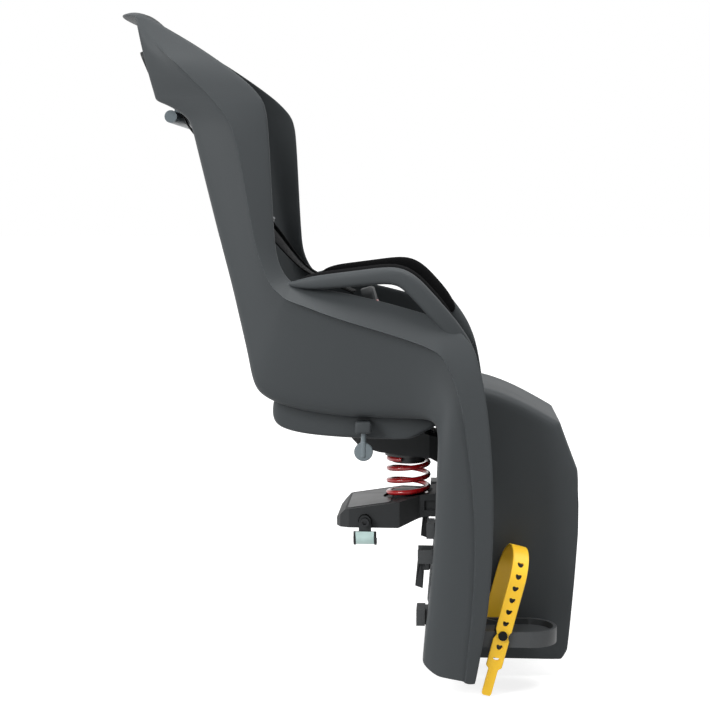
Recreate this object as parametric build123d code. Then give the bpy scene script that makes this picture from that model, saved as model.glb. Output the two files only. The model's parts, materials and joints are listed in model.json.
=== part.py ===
from build123d import *
from math import asin, degrees, radians, sqrt, tan
import os

import numpy

# Child bike seat for a rear carrier, in millimetres.
# X points forward, Y to the child's left and Z up. The origin lies on top of the carrier's
# two rails, midway between them, over the clamp. Pieces that come in pairs are drawn on the
# child's right (negative Y) and mirrored.

# Moulded shell: heights and walls
HEAD_TOP = 628.0
SEAT_UNDER = 145.0
GUARD_FOOT = -149.0
WALL = 4.0
RIM = 5.0
RIM_BEVEL = 2.0
CROWN_DROP = 4.0
CROWN_R = 700.0
CROWN_HALF = 96.0
SHOULDER_R = 34.0
SHOULDER_TURN = 42.0

# Back: rear skin of the raked back, and the hood that holds a helmet
BACK_FOOT_X = -128.5
BACK_FOOT_RISE = 62.0
BACK_RAKE = 14.0
HOOD_DEPTH = 36.0
STEP_DROP = 114.0
STEP_HEIGHT = 29.5
LIP_REACH = 33.0
LIP_HALF = 98.0
LIP_PLAN_R = 157.5
LIP_THICK = 18.0

# Seat and leg guards
SEAT_FRONT_X = 78.0
GUARD_BACK_X = 88.0
GUARD_DEPTH = 63.0
GUARD_HALF = 192.0
GUARD_FLARE = 13.0

# Nose between the legs, and the wheel tunnel under it
NOSE_HALF = 95.0
NOSE_FRONT_X = 257.0
NOSE_PEAK_Z = 184.0
NOSE_ROUND = 20.0
MOUTH_Z = 72.0

# Armrest loops
ARM_WIDTH = 20.0
ARM_HEIGHT = 20.0
ARM_BEVEL = 6.0
ARM_BEND = 26.0
ARM_TOP_Z = 315.0
ARM_REAR_X0 = -92.0
ARM_RUN = 204.0
ARM_REAR_Y = GUARD_HALF - 29
ARM_FRONT_Y = GUARD_HALF - 18
PAD_THICK = 5.0
PAD_HEIGHT = 17.0

# Tray under the bucket, and the thumb screw on it
TRAY_HALF = GUARD_HALF - 62
TRAY_FLOOR_Z = 119.0
TRAY_REAR_X = -106.0
TRAY_FRONT_X = 72.0
TRAY_ROUND = 7.0
TRAY_SCREW_R = 2.5
TRAY_SCREW_Y = 90.0
LUG_X = 3.0
LUG_Y = TRAY_HALF + 9
LUG_HALF = 9.0
LUG_LOW_Z = 129.0
LUG_HEIGHT = 14.0
THUMB_STEM = 3.0
THUMB_HALF = 11.0
THUMB_THICK = 4.5

# Suspension: pivot, arm and spring
PIVOT_X = 150.0
PIVOT_Z = 52.0
PIN_R = 5.0
BUSH_R = 7.5
LUG_R = 14.0
TONGUE_HALF = 21.5
CHEEK_HALF = 34.0
ARM_HALF = 42.0
ARM_RIB = 4.0
ARM_REAR_X = -18.0
SPRING_X = 51.0
SPRING_R = 28.0
SPRING_WIRE = 3.15
SPRING_TURNS = 3.2
SPRING_GAP = 0.1
COIL_SIDES = 16
WIRE_SIDES = 8
SPRING_LOW = 27.5
SPRING_HIGH = 82.5
SEAT_DISC = 2.5
SEAT_BOSS_R = 20.5
SEAT_BOSS = 9.0

# Carrier bracket and its rail clamp
HOUSING_HALF = 58.0
HOUSING_REAR_X = -36.0
HOUSING_ROUND = 16.0
COVER_THICK = 2.5
COVER_HALF = HOUSING_HALF - 9
COVER_LENGTH = 54.0
COVER_SLOPE = 8.7
RAIL_R = 8.0
RAIL_Y = HOUSING_HALF - 5
JAW_PAD = 3.3
JAW_PLATE = 2.0
JAW_HALF = 14.0
JAW_CAP = 2.5
JAW_TRAVEL = 5.0
SCREW_R = 3.0
SCREW_Z = 8.5
EYE_R = 7.5
NUT_THICK = 5.0

# Footrests and foot straps
FOOT_CLEAR = 10.0
FOOT_Y = (GUARD_HALF - GUARD_FLARE + NOSE_HALF) / 2
FOOT_HALF = (GUARD_HALF - GUARD_FLARE - NOSE_HALF) / 2 - FOOT_CLEAR
FOOT_TOP_Z = -96.0
FOOT_THICK = 18.0
FOOT_FRONT_X = 229.0
FOOT_PLATE_X = 95.0
FOOT_PLATE = 5.0
FOOT_PLATE_TOP = 30.0
FOOT_TRAVEL = 60.0
FOOT_WALL = 4.0
FOOT_RIM = 7.0
SLOT_HALF = 11.0
HEAD_HALF = 16.0
HOOK_GAP = 0.4
LATCH_Z = -14.0
LATCH_LENGTH = 38.0
LATCH_HALF = 9.5
LATCH_PIN = 2.0
LATCH_GAP = 5.0
STRAP_WIDTH = 19.0
STRAP_THICK = 2.4
STRAP_TILT = 15.0
STRAP_TURN = 9.0
STRAP_X = 160.0
STRAP_ARCH = FOOT_HALF + 4
STRAP_RISE = 59.0
STRAP_ROOT = 12.0
STRAP_TAIL = 75.0
TAIL_WIDTH = 15.0
TAIL_LENGTH = 32.0
HOLE_PITCH = 14.0
HOLES_BELOW = 2
HOLES_ABOVE = 6
STUD_R = 3.0
STUD_HEAD_R = 5.5
STUD_HEAD = 2.5
STUD_Z = -3.0

# Harness
WEB_WIDTH = 25.0
WEB_THICK = 1.8
SLOT_Y = 50.0
SLOT_DROP = 161.0
SLOT_PITCH = 45.0
WEB_MEET_Y = 13.0
WEB_CHEST = (50.0, 75.0)
WEB_WAIST = (116.0, 149.0)
WEB_END = 178.0
WEB_END_Z = 286.0
BUCKLE_X = 6.0
BUCKLE_RISE = 117.0
BUCKLE_LEAN = 15.0
BUCKLE_WIDTH = 46.0
BUCKLE_HEIGHT = 54.0
BUCKLE_THICK = 15.0
BUTTON_HALF = 9.0
BUTTON_DEPTH = 5.0
BUTTON_PROUD = 1.5
BUTTON_TRAVEL = 3.0

# Reflector on the hood
REFLECTOR_DROP = 66.0
REFLECTOR_HALF = 78.0
REFLECTOR_HEIGHT = 36.0
REFLECTOR_THICK = 9.0
REFLECTOR_LEAN = 9.0
REFLECTOR_BORDER = 4.0

# Bar behind the back that the shoulder straps pass round
ANCHOR_R = 7.5
ANCHOR_POST_Y = 28.0
ANCHOR_HALF = 84.0

# Clearances
FIT = 0.3
SEAM = 0.3

# Sides of small round fasteners
SMALL_SIDES = 12

BACK_FOOT_Z = SEAT_UNDER + BACK_FOOT_RISE
SEAT_TOP = SEAT_UNDER + WALL
CROWN_TOP = HEAD_TOP - CROWN_DROP
STEP_TOP = HEAD_TOP - STEP_DROP
STEP_FOOT = STEP_TOP - STEP_HEIGHT
FAR = 600.0


def rear_x(z):
    """Rear skin of the back at height z: the raked line, with the hood standing out above the step."""
    share = min(max((z - STEP_FOOT) / STEP_HEIGHT, 0.0), 1.0)
    return BACK_FOOT_X - (z - BACK_FOOT_Z) * tan(radians(BACK_RAKE)) - HOOD_DEPTH * share ** 2


def both_sides(piece):
    """The right-hand piece and its mirror image on the left."""
    return piece, mirror(piece, about=Plane.XZ)


def side_face(*lines):
    """Face in the side view, drawn with X across and Z up."""
    return Plane.XZ * make_face(lines)


def across(face, half, centre=0.0):
    """Solid of a side-view face, from centre - half to centre + half along Y."""
    return Pos(0, centre, 0) * extrude(face, amount=half, both=True)


def slab(x0, x1, y0, y1, z0, z1):
    """Box between two corners."""
    return Pos((x0 + x1) / 2, (y0 + y1) / 2, (z0 + z1) / 2) * Box(abs(x1 - x0), abs(y1 - y0), abs(z1 - z0))


def rod_y(radius, y0, y1, x, z):
    """Round bar along Y."""
    return Pos(x, (y0 + y1) / 2, z) * Rot(90, 0, 0) * Cylinder(radius, abs(y1 - y0))


def small_round(radius, z0, z1):
    """Small upright fastener shank or head, drawn with few sides."""
    return Pos(0, 0, z0) * extrude(RegularPolygon(radius, SMALL_SIDES), amount=z1 - z0)


def step_from(start, end, distance):
    """Point at a distance from start towards end."""
    return start + (end - start).normalized() * distance


# Stations of the shell from crown to foot: the points of the base and the rim in the side view,
# the share of the way up at which the band's crease lies, how far base, crease and rim are set in
# from the guards' half width, the band's overhang and the radius of the corner.
def back_station(drop, rim_x, *form):
    z = HEAD_TOP - drop
    return ((rear_x(z), z), (rim_x, z)) + form


def seat_station(base_x, base_rise, rim_x, rim_rise, *form):
    return ((base_x, SEAT_UNDER + base_rise), (rim_x, SEAT_UNDER + rim_rise)) + form


def guard_station(rise, base_back, rim_forward, crease_share):
    z = GUARD_FOOT + rise
    base = (GUARD_BACK_X + base_back, z)
    rim = (GUARD_BACK_X + GUARD_DEPTH + rim_forward, z + 4)
    return base, rim, crease_share, 6, 0, 4, 5, 26


STATIONS = [
    back_station(2, -259, 0.34, 84, 80, 84, 3, 22),
    back_station(16, -245, 0.34, 80, 72, 78, 3, 22),
    back_station(46, -201, 0.36, 74, 54, 64, 3, 22),
    back_station(70, -166, 0.424, 70, 45, 52, 3, 22),
    back_station(90, -139, 0.469, 67, 40, 45, 3, 22),
    back_station(102, -126, 0.512, 66, 38.5, 43, 3, 22),
    back_station(STEP_DROP, -116, 0.558, 64, 36.8, 41.2, 3, 22),
    back_station(STEP_DROP + 0.24 * STEP_HEIGHT, -111.9, 0.527, 62.8, 35.9, 40.5, 3, 22),
    back_station(STEP_DROP + 0.47 * STEP_HEIGHT, -109.8, 0.513, 61.3, 35.2, 40.2, 3, 22),
    back_station(STEP_DROP + 0.73 * STEP_HEIGHT, -108.3, 0.52, 59.5, 34.5, 40, 3, 22),
    back_station(STEP_DROP + STEP_HEIGHT, -107.3, 0.545, 57.4, 33.9, 40, 3, 22.7),
    back_station(166, -105.3, 0.589, 54, 32.5, 40, 3, 24),
    back_station(207, -103, 0.62, 52, 32, 40, 3, 24),
    back_station(275, -99, 0.66, 50, 30, 40, 3, 24),
    seat_station(-151.5, 158, -96, 186, 0.71, 48, 27, 39, 4, 24),
    seat_station(-142.5, 118, -87, 167, 0.745, 46, 23, 38, 6, 26),
    seat_station(BACK_FOOT_X, BACK_FOOT_RISE, -77, 158, 0.845, 44, 18, 37, 8, 32),
    seat_station(-87, 13, -56, 153, 0.855, 42, 14, 35, 10, 38),
    seat_station(-32, 2, -24, 149, 0.80, 42, 12, 34, 10, 40),
    seat_station(17, 0, 23, 139, 0.765, 42, 11, 32, 10, 40),
    seat_station(55, 0, 69, 126, 0.735, 40, 9, 29, 10, 40),
    seat_station(SEAT_FRONT_X, 0, 103, 114, 0.69, 32, 6, 24, 9, 38),
    seat_station(86, -2, 130, 94, 0.61, 22, 4, 18, 8, 34),
    seat_station(89, -8, 142, 60, 0.56, 14, 2, 12, 7, 30),
    seat_station(90, -27, 148, 3, 0.55, 8, 1, 7, 6, 26),
    guard_station(226, 0, 0, 0.62),
    guard_station(169, -1, 0, 0.67),
    guard_station(117, -4, -3, 0.70),
    guard_station(73, -10, -7, 0.76),
    guard_station(29, -15, -13, 0.81),
    guard_station(-11, -17, -20, 0.87),
]


def bend(start, corner, end, steps):
    """Points on a parabolic bend from start to end that keeps to the corner's tangents."""
    shares = [step / steps for step in range(steps + 1)]
    return [start * (1 - t) ** 2 + corner * (2 * t * (1 - t)) + end * t ** 2 for t in shares]


class Section:
    """Points of one U-section of the shell, with y across and z from the base to the rim."""

    def __init__(self, base, rim, crease_share, in_base, in_crease, in_rim, overhang, corner):
        w_base = GUARD_HALF - in_base
        w_crease = GUARD_HALF - in_crease
        w_rim = GUARD_HALF - in_rim
        foot = Vector(base[0], 0, base[1])
        tip = Vector(rim[0], 0, rim[1])
        rise = tip - foot
        height = rise.length
        crease = crease_share * height
        turn = min(corner, 0.6 * crease + 2)
        inner_turn = min(turn - 2, 0.5 * (height - WALL))
        bevel = min(RIM_BEVEL, 0.25 * height)
        self.plane = Plane(origin=foot, x_dir=(0, 1, 0), z_dir=Vector(0, 1, 0).cross(rise))
        self.heel = Vector(w_base, 0)
        self.under = Vector(w_crease - overhang, crease)
        self.belly = (self.heel + self.under) * 0.5 + Vector(2.5, -1)
        self.knee = Vector(w_crease, crease)
        self.heel_in = self.heel - Vector(turn, 0)
        self.heel_up = step_from(self.heel, self.belly, 0.6 * turn)
        self.lip_out = Vector(w_rim, height - bevel)
        self.lip_top = Vector(w_rim - bevel, height)
        self.lip_in = Vector(w_rim - RIM, height)
        self.inside = Vector(w_base - WALL, WALL)
        self.inner_belly = Vector(w_crease - overhang - WALL, max(crease, 0.5 * (height + WALL)))
        self.inside_up = step_from(self.inside, self.inner_belly, 0.6 * inner_turn)
        self.inside_in = self.inside - Vector(inner_turn, 0)

        self.outer = bend(self.heel_in, self.heel, self.heel_up, 4)
        self.outer += bend(self.heel_up, self.belly, self.under, 2)[1:]
        self.outer += [self.knee, self.lip_out]
        self.inner = bend(self.lip_in, self.inner_belly, self.inside_up, 2)
        self.inner += bend(self.inside_up, self.inside, self.inside_in, 3)[1:]

    def face(self, points):
        """Face inside a line of points and its mirror image."""
        right = [(point.X, point.Y) for point in points]
        left = [(-x, y) for x, y in reversed(right)]
        return self.plane * make_face(Polyline(*right, *left, close=True))

    def wall(self):
        """Face of the wall itself, from the base up to the bevelled rim and down to the floor."""
        return self.face(self.outer + [self.lip_top] + self.inner)

    def filled(self):
        """Face of everything inside the outer skin."""
        return self.face(self.outer)

    def hollow(self):
        """Face of the space inside the inner skin."""
        return self.face(self.inner)


SECTIONS = [Section(*station) for station in STATIONS]
OUTER_BODY = loft([section.filled() for section in SECTIONS], ruled=True)
INNER_SPACE = loft([section.hollow() for section in SECTIONS], ruled=True)


def armrest_plane():
    """Upright plane of the right armrest, which splays outwards to the front."""
    run = Vector(ARM_RUN, ARM_REAR_Y - ARM_FRONT_Y, 0)
    return Plane(origin=(ARM_REAR_X0, -ARM_REAR_Y, 0), x_dir=run, z_dir=run.cross(Vector(0, 0, 1)))


def armrest_path(front_drop, pad_start=None):
    """Line of the armrest in its own plane, over the bend towards the front foot; a pad starts further on."""
    heel = Vector(30, ARM_TOP_Z - 11.5)
    apex = Vector(138, ARM_TOP_Z)
    foot = apex + Vector(0.92, -1) * front_drop
    if pad_start is None:
        points = [Vector(0, heel.Y - 13.5), heel, apex, foot]
    else:
        points = [step_from(heel, apex, pad_start), apex, foot]
    return armrest_plane() * FilletPolyline(*points, radius=ARM_BEND)


def armrest_sweep(path, offset, width, height, bevel):
    """Bevelled bar along an armrest path, set off sideways from it."""
    sideways = armrest_plane().z_dir
    start = Plane(origin=path @ 0, x_dir=sideways, z_dir=path % 0)
    section = Rectangle(width, height)
    section = chamfer(section.vertices(), bevel)
    return sweep(start * Pos(offset, 0, 0) * section, path=path)


def make_armrest():
    """Right armrest, flush with the shell's inner skin and running out into the rim at its front foot."""
    arm = armrest_sweep(armrest_path(92), 0, ARM_WIDTH, ARM_HEIGHT, ARM_BEVEL) - INNER_SPACE
    near = GUARD_BACK_X + 8
    far = GUARD_BACK_X + 60
    side = -ARM_FRONT_Y - ARM_WIDTH / 2
    corners = [(near, side - 2), (far, side + 26), (far, side - 40), (near, side - 40)]
    runout = make_face(Polyline(*corners, close=True))
    return arm - extrude(runout, amount=FAR)


def make_armrest_pad():
    """Soft pad on the inner face of the right armrest."""
    inward = 1 if armrest_plane().z_dir.Y > 0 else -1
    offset = inward * (ARM_WIDTH / 2 + PAD_THICK / 2 + SEAM)
    return armrest_sweep(armrest_path(36, pad_start=34), offset, PAD_THICK, PAD_HEIGHT, 0.3 * PAD_THICK)


def nose_top(inset):
    """Side outline of the nose's top and front, drawn in by the inset."""
    rise_x = GUARD_BACK_X - 34
    peak_x = GUARD_BACK_X + 36
    return FilletPolyline(
        (rise_x + 2 * inset, SEAT_UNDER + 2 - inset),
        (peak_x, NOSE_PEAK_Z - inset),
        (NOSE_FRONT_X - 19 - inset, NOSE_PEAK_Z - 50 - inset),
        (NOSE_FRONT_X - inset, 55),
        (NOSE_FRONT_X - inset, 10),
        (NOSE_FRONT_X - 15 - inset, GUARD_FOOT),
        radius=[60, 22, 60, 120],
    )


def nose_block(inset, rear_x_foot, rear_z_top):
    """Prism under the nose's outline, with its upper edges rounded."""
    top = nose_top(inset)
    rear = Polyline(top @ 1, (rear_x_foot, GUARD_FOOT), (rear_x_foot, rear_z_top), top @ 0)
    half = NOSE_HALF - inset
    body = across(side_face(top, rear), half)
    crown = body.edges().filter_by(lambda e: abs(abs(e.center().Y) - half) < 0.1)
    crown = crown.filter_by(lambda e: e.center().Z > 62 and e.center().X > GUARD_BACK_X - 10)
    return fillet(crown, NOSE_ROUND - inset)


def make_nose():
    """Saddle-like nose with the inner walls of both leg channels."""
    return nose_block(0, GUARD_BACK_X - 12, SEAT_UNDER)


def wheel_tunnel():
    """Space under the nose, open at the rear, the foot and the lower front."""
    inner = NOSE_HALF - WALL
    tunnel = nose_block(WALL, GUARD_BACK_X - 40, SEAT_UNDER - 1)
    tunnel += slab(GUARD_BACK_X - 40, NOSE_FRONT_X + 40, -inner, inner, GUARD_FOOT - 40, GUARD_FOOT + 1)
    return tunnel + slab(GUARD_BACK_X, NOSE_FRONT_X + 40, -inner, inner, GUARD_FOOT - 40, MOUTH_Z)


def crown_trim():
    """Everything above the arched top edge of the headrest and its round shoulders."""
    slope = CROWN_HALF / CROWN_R
    level = sqrt(1 - slope ** 2)
    end = Vector(CROWN_HALF, CROWN_TOP - CROWN_R * (1 - level))
    shoulder = JernArc(end, (level, -slope), SHOULDER_R, -SHOULDER_TURN)
    side = shoulder @ 1 + (shoulder % 1) * 90
    arch = ThreePointArc((-end.X, end.Y), (0, CROWN_TOP), end)
    rest = Polyline(shoulder @ 1, side, (side.X, HEAD_TOP + 60), (-side.X, HEAD_TOP + 60), (-side.X, side.Y),
                    (-(shoulder @ 1).X, (shoulder @ 1).Y))
    outline = make_face([arch, shoulder, mirror(shoulder, about=Plane.YZ), rest])
    return extrude(Plane.YZ * outline, amount=FAR, both=True)


def make_lip():
    """Rolled lip behind the crown, which follows the crown's arch and rises a little above it."""
    rear = rear_x(HEAD_TOP)
    centre = CROWN_TOP - CROWN_R
    low = HEAD_TOP - LIP_THICK
    profile = side_face(Polyline(
        (rear + 4, CROWN_TOP + 0.6), (rear - 12, HEAD_TOP), (rear - 22, HEAD_TOP - 0.5),
        (rear - LIP_REACH, HEAD_TOP - 3), (rear - LIP_REACH + 1, HEAD_TOP - 7), (rear - 2, low),
        (rear + 4, low), close=True))
    half_turn = degrees(asin(LIP_HALF / CROWN_R))
    lip = revolve(profile, axis=Axis((0, 0, centre), (1, 0, 0)), revolution_arc=2 * half_turn)
    lip = Pos(0, 0, centre) * Rot(-half_turn, 0, 0) * Pos(0, 0, -centre) * lip
    plan = Pos(rear - LIP_REACH + LIP_PLAN_R, 0, low - 40) * Circle(LIP_PLAN_R)
    return lip & extrude(plan, amount=4 * LIP_THICK)


def guard_trim():
    """Everything below the slanted and rounded lower end of the leg guards."""
    rear = GUARD_BACK_X - 40
    line = FilletPolyline((rear, GUARD_FOOT + 44), (GUARD_BACK_X - 15, GUARD_FOOT + 34),
                          (GUARD_BACK_X - 4, GUARD_FOOT + 8), (GUARD_BACK_X + 80, GUARD_FOOT - 4), radius=12)
    rest = Polyline(line @ 1, (GUARD_BACK_X + 80, GUARD_FOOT - 60), (rear, GUARD_FOOT - 60), line @ 0)
    return across(side_face(line, rest), GUARD_HALF + 20)


def footrest_slot():
    """Upright slot in the back wall of the right leg channel, in which the footrest slides."""
    low = FOOT_TOP_Z - FOOT_THICK - 2
    high = FOOT_PLATE_TOP + FOOT_TRAVEL
    return slab(GUARD_BACK_X - 40, GUARD_BACK_X + 14, -FOOT_Y - SLOT_HALF, -FOOT_Y + SLOT_HALF, low, high)


def strap_slots():
    """Slots through the back for the shoulder straps, at three heights."""
    cuts = []
    for row in range(3):
        z = HEAD_TOP - SLOT_DROP - SLOT_PITCH * row
        for y in (-SLOT_Y, SLOT_Y):
            cuts.append(Pos(rear_x(z), y, z) * Box(30, WEB_WIDTH + 9, WEB_THICK + 10))
    return cuts


def make_seat_shell():
    shell = loft([section.wall() for section in SECTIONS], ruled=True)
    shell -= crown_trim()
    shell += make_lip()
    shell += make_nose()
    shell -= wheel_tunnel()
    shell -= guard_trim()
    shell += list(both_sides(make_armrest()))
    shell -= list(both_sides(footrest_slot()))
    shell -= strap_slots()
    return shell


def make_base_tray():
    """Tray that closes the space under the bucket, with the lug of the thumb screw on its right side."""
    outline = side_face(Polyline(
        (TRAY_REAR_X + 3, SEAT_UNDER + 18), (TRAY_REAR_X, SEAT_UNDER), (TRAY_REAR_X + 9, TRAY_FLOOR_Z + 13),
        (TRAY_REAR_X + 46, TRAY_FLOOR_Z + 4), (TRAY_REAR_X + 94, TRAY_FLOOR_Z),
        (TRAY_FRONT_X - 12, TRAY_FLOOR_Z), (TRAY_FRONT_X, TRAY_FLOOR_Z + 9), (TRAY_FRONT_X, SEAT_UNDER + 30),
        (TRAY_REAR_X + 26, SEAT_UNDER + 34), close=True))
    block = across(outline, TRAY_HALF)
    skirt = block.edges().filter_by(lambda e: abs(abs(e.center().Y) - TRAY_HALF) < 0.1)
    skirt = skirt.filter_by(lambda e: e.center().Z < SEAT_UNDER)
    block = fillet(skirt, TRAY_ROUND)
    block -= across(offset(outline, -WALL), TRAY_HALF - WALL)
    lug_top = LUG_LOW_Z + LUG_HEIGHT
    block += slab(LUG_X - LUG_HALF, LUG_X + LUG_HALF, -LUG_Y - LUG_HALF, -TRAY_HALF + WALL,
                  LUG_LOW_Z, lug_top)
    block -= Pos(0, 0, -SEAM) * OUTER_BODY
    block -= Pos(LUG_X, -LUG_Y, LUG_LOW_Z) * Cylinder(THUMB_STEM + FIT, 4 * LUG_HEIGHT)
    for x, y in screw_places():
        block -= Pos(x, y, TRAY_FLOOR_Z) * Cylinder(TRAY_SCREW_R + FIT, 4 * WALL)
    return block


def screw_places():
    """Places of the four screws in the flat of the tray's floor."""
    return [(x, y) for x in (TRAY_REAR_X + 104, TRAY_FRONT_X - 22) for y in (-TRAY_SCREW_Y, TRAY_SCREW_Y)]


def make_tray_screws():
    """Four pan-headed screws from below, through the tray's floor up to the shell."""
    length = SEAT_UNDER - TRAY_FLOOR_Z - SEAM
    screw = small_round(TRAY_SCREW_R, 0, length) + small_round(2.2 * TRAY_SCREW_R, -2, 0)
    return Compound(children=[Pos(x, y, TRAY_FLOOR_Z) * screw for x, y in screw_places()])


def make_thumb_screw():
    """Screw with a flat spade head, standing in the tray's lug."""
    top = LUG_LOW_Z + LUG_HEIGHT
    spade_top = TRAY_FLOOR_Z - 1
    stem = Pos(LUG_X, -LUG_Y, (top + spade_top - 3) / 2) * Cylinder(THUMB_STEM, top - spade_top + 3)
    blade = Pos(0, -THUMB_HALF / 2) * Rectangle(2 * THUMB_HALF, THUMB_HALF)
    blade += Pos(0, -THUMB_HALF) * Circle(THUMB_HALF)
    spade = Pos(LUG_X, -LUG_Y, spade_top) * extrude(Plane.XZ * blade, amount=THUMB_THICK / 2, both=True)
    return stem + spade


def pivot_disc(half, radius):
    """Round disc or hole about the suspension pivot."""
    return rod_y(radius, -half, half, PIVOT_X, PIVOT_Z)


def plan_prism(*points):
    """Upright prism over a plan outline that is mirrored about the X axis."""
    mirrored = [(x, -y) for x, y in reversed(points)]
    return Pos(0, 0, -100) * extrude(make_face(Polyline(*points, *mirrored, close=True)), amount=FAR)


def make_upper_arm():
    """Suspension arm under the tray, with the tongue that turns on the pivot pin."""
    outline = side_face(Polyline(
        (ARM_REAR_X, TRAY_FLOOR_Z), (ARM_REAR_X, TRAY_FLOOR_Z - 12), (ARM_REAR_X + 10, TRAY_FLOOR_Z - 21),
        (ARM_REAR_X + 35, TRAY_FLOOR_Z - 28), (ARM_REAR_X + 97, TRAY_FLOOR_Z - 35),
        (PIVOT_X - 12, PIVOT_Z - 6), (PIVOT_X + 11, PIVOT_Z + 8), (PIVOT_X - 26, TRAY_FLOOR_Z - 22),
        (TRAY_FRONT_X - 12, TRAY_FLOOR_Z), close=True))
    plan = plan_prism((ARM_REAR_X, ARM_HALF - 8), (ARM_REAR_X + 10, ARM_HALF), (TRAY_FRONT_X + 6, ARM_HALF),
                      (PIVOT_X - 44, TONGUE_HALF), (PIVOT_X + 40, TONGUE_HALF))
    arm = (across(outline, ARM_HALF) + pivot_disc(TONGUE_HALF, LUG_R)) & plan
    rib_gap = (ARM_HALF - 3 * ARM_RIB) / 2
    for y in (-ARM_RIB - rib_gap / 2, ARM_RIB + rib_gap / 2):
        arm -= slab(ARM_REAR_X + 6, SPRING_X - SPRING_R - 6, y - rib_gap / 2, y + rib_gap / 2,
                    0, TRAY_FLOOR_Z - ARM_RIB)
    boss_low = SPRING_HIGH + SEAT_DISC
    arm += Pos(SPRING_X, 0, (boss_low + TRAY_FLOOR_Z - ARM_RIB) / 2) * Cylinder(
        SPRING_R + 2, TRAY_FLOOR_Z - ARM_RIB - boss_low)
    arm -= Pos(SPRING_X, 0, boss_low - 25) * Cylinder(SPRING_R + 2, 50)
    return arm - pivot_disc(FAR, PIN_R + FIT)


def spring_pocket(gap):
    """Round space that the lower spring seat stands in, wider by a gap."""
    return Pos(SPRING_X, 0, SPRING_LOW - SEAT_DISC + 50) * Cylinder(SPRING_R + 3 + gap, 100)


def make_carrier_housing():
    """Boat-shaped bracket on the carrier, with the arm and the fork of the suspension pivot."""
    outline = side_face(Polyline(
        (HOUSING_REAR_X, 0), (40, 0), (62, 7), (PIVOT_X - 14, PIVOT_Z - 26), (PIVOT_X + 6, PIVOT_Z - 12.6),
        (PIVOT_X - 9, PIVOT_Z + 10.7), (PIVOT_X - 25, 46), (79, 38), (34, 31), (-25, 22),
        (HOUSING_REAR_X, 10), close=True))
    plan = plan_prism((HOUSING_REAR_X, HOUSING_HALF - HOUSING_ROUND), (HOUSING_REAR_X + 5, HOUSING_HALF - 5),
                      (HOUSING_REAR_X + HOUSING_ROUND, HOUSING_HALF), (42, HOUSING_HALF), (66, CHEEK_HALF),
                      (PIVOT_X + 40, CHEEK_HALF))
    body = (across(outline, HOUSING_HALF) + pivot_disc(CHEEK_HALF, LUG_R)) & plan
    fork = TONGUE_HALF + FIT
    body -= slab(PIVOT_X - 30, PIVOT_X + 40, -fork, fork, -20, PIVOT_Z + 40)
    body -= pivot_disc(FAR, BUSH_R)
    body -= spring_pocket(0)
    body -= cover_plate(FIT, COVER_THICK + 3)
    body -= rod_y(SCREW_R + 0.4, -FAR, FAR, 0, SCREW_Z)
    for side in (-1, 1):
        body -= slab(72, PIVOT_X - 34, side * (CHEEK_HALF - 3), side * FAR, 18, 30)
        body -= rod_y(EYE_R + 1, side * (HOUSING_HALF - 6), side * FAR, 0, SCREW_Z)
    return body


def cover_plate(gap, height):
    """Plate lying on the sloped top of the housing, widened by a gap on each side."""
    place = Pos(4.5, 0, 26.5) * Rot(0, -COVER_SLOPE, 0)
    plate = Rectangle(COVER_LENGTH + 2 * gap, 2 * (COVER_HALF + gap))
    plate = extrude(fillet(plate.vertices(), 6 + gap), amount=height)
    return place * Pos(0, 0, -COVER_THICK + 0.6) * plate


def make_housing_cover():
    """Inset plate behind the spring, hollowed round the spring's seat."""
    return cover_plate(0, COVER_THICK) - spring_pocket(FIT)


def spring_seat(boss_side):
    """Disc with a boss that centres the spring; the boss points up or down."""
    low = SPRING_LOW - SEAT_DISC if boss_side > 0 else SPRING_HIGH
    disc = Pos(SPRING_X, 0, low + SEAT_DISC / 2) * Cylinder(SPRING_R + 1.5, SEAT_DISC)
    boss_z = SPRING_LOW + SEAT_BOSS / 2 if boss_side > 0 else SPRING_HIGH - SEAT_BOSS / 2
    return disc + Pos(SPRING_X, 0, boss_z) * Cylinder(SEAT_BOSS_R, SEAT_BOSS)


def make_spring():
    """Open coil of wire between the two seats, drawn as short straight lengths round a helix."""
    height = SPRING_HIGH - SPRING_LOW - 2 * SPRING_WIRE - 2 * SPRING_GAP
    radius = SPRING_R - SPRING_WIRE
    foot = Pos(SPRING_X, 0, SPRING_LOW + SPRING_WIRE + SPRING_GAP)
    coil = foot * Helix(height / SPRING_TURNS, height, radius)
    lengths = round(SPRING_TURNS * COIL_SIDES)
    wire = RegularPolygon(SPRING_WIRE, WIRE_SIDES)
    rings = []
    for step in range(lengths + 1):
        share = step / lengths
        rings.append(Plane(origin=coil @ share, x_dir=(0, 0, 1), z_dir=coil % share) * wire)
    return loft(rings, ruled=True)


def make_pivot_pin():
    pin = rod_y(PIN_R, -CHEEK_HALF - 3, CHEEK_HALF + 3, PIVOT_X, PIVOT_Z)
    pin += rod_y(PIN_R + 4, -CHEEK_HALF - 5, -CHEEK_HALF - 1.5, PIVOT_X, PIVOT_Z)
    return pin + rod_y(PIN_R + 3, CHEEK_HALF + 1.5, CHEEK_HALF + 4, PIVOT_X, PIVOT_Z)


def make_pivot_bush():
    """Flanged bush in the right cheek of the fork."""
    bush = rod_y(BUSH_R, -CHEEK_HALF, -TONGUE_HALF - FIT, PIVOT_X, PIVOT_Z)
    bush += rod_y(BUSH_R + 2.5, -CHEEK_HALF - 1.5, -CHEEK_HALF, PIVOT_X, PIVOT_Z)
    return bush - pivot_disc(FAR, PIN_R)


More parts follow.
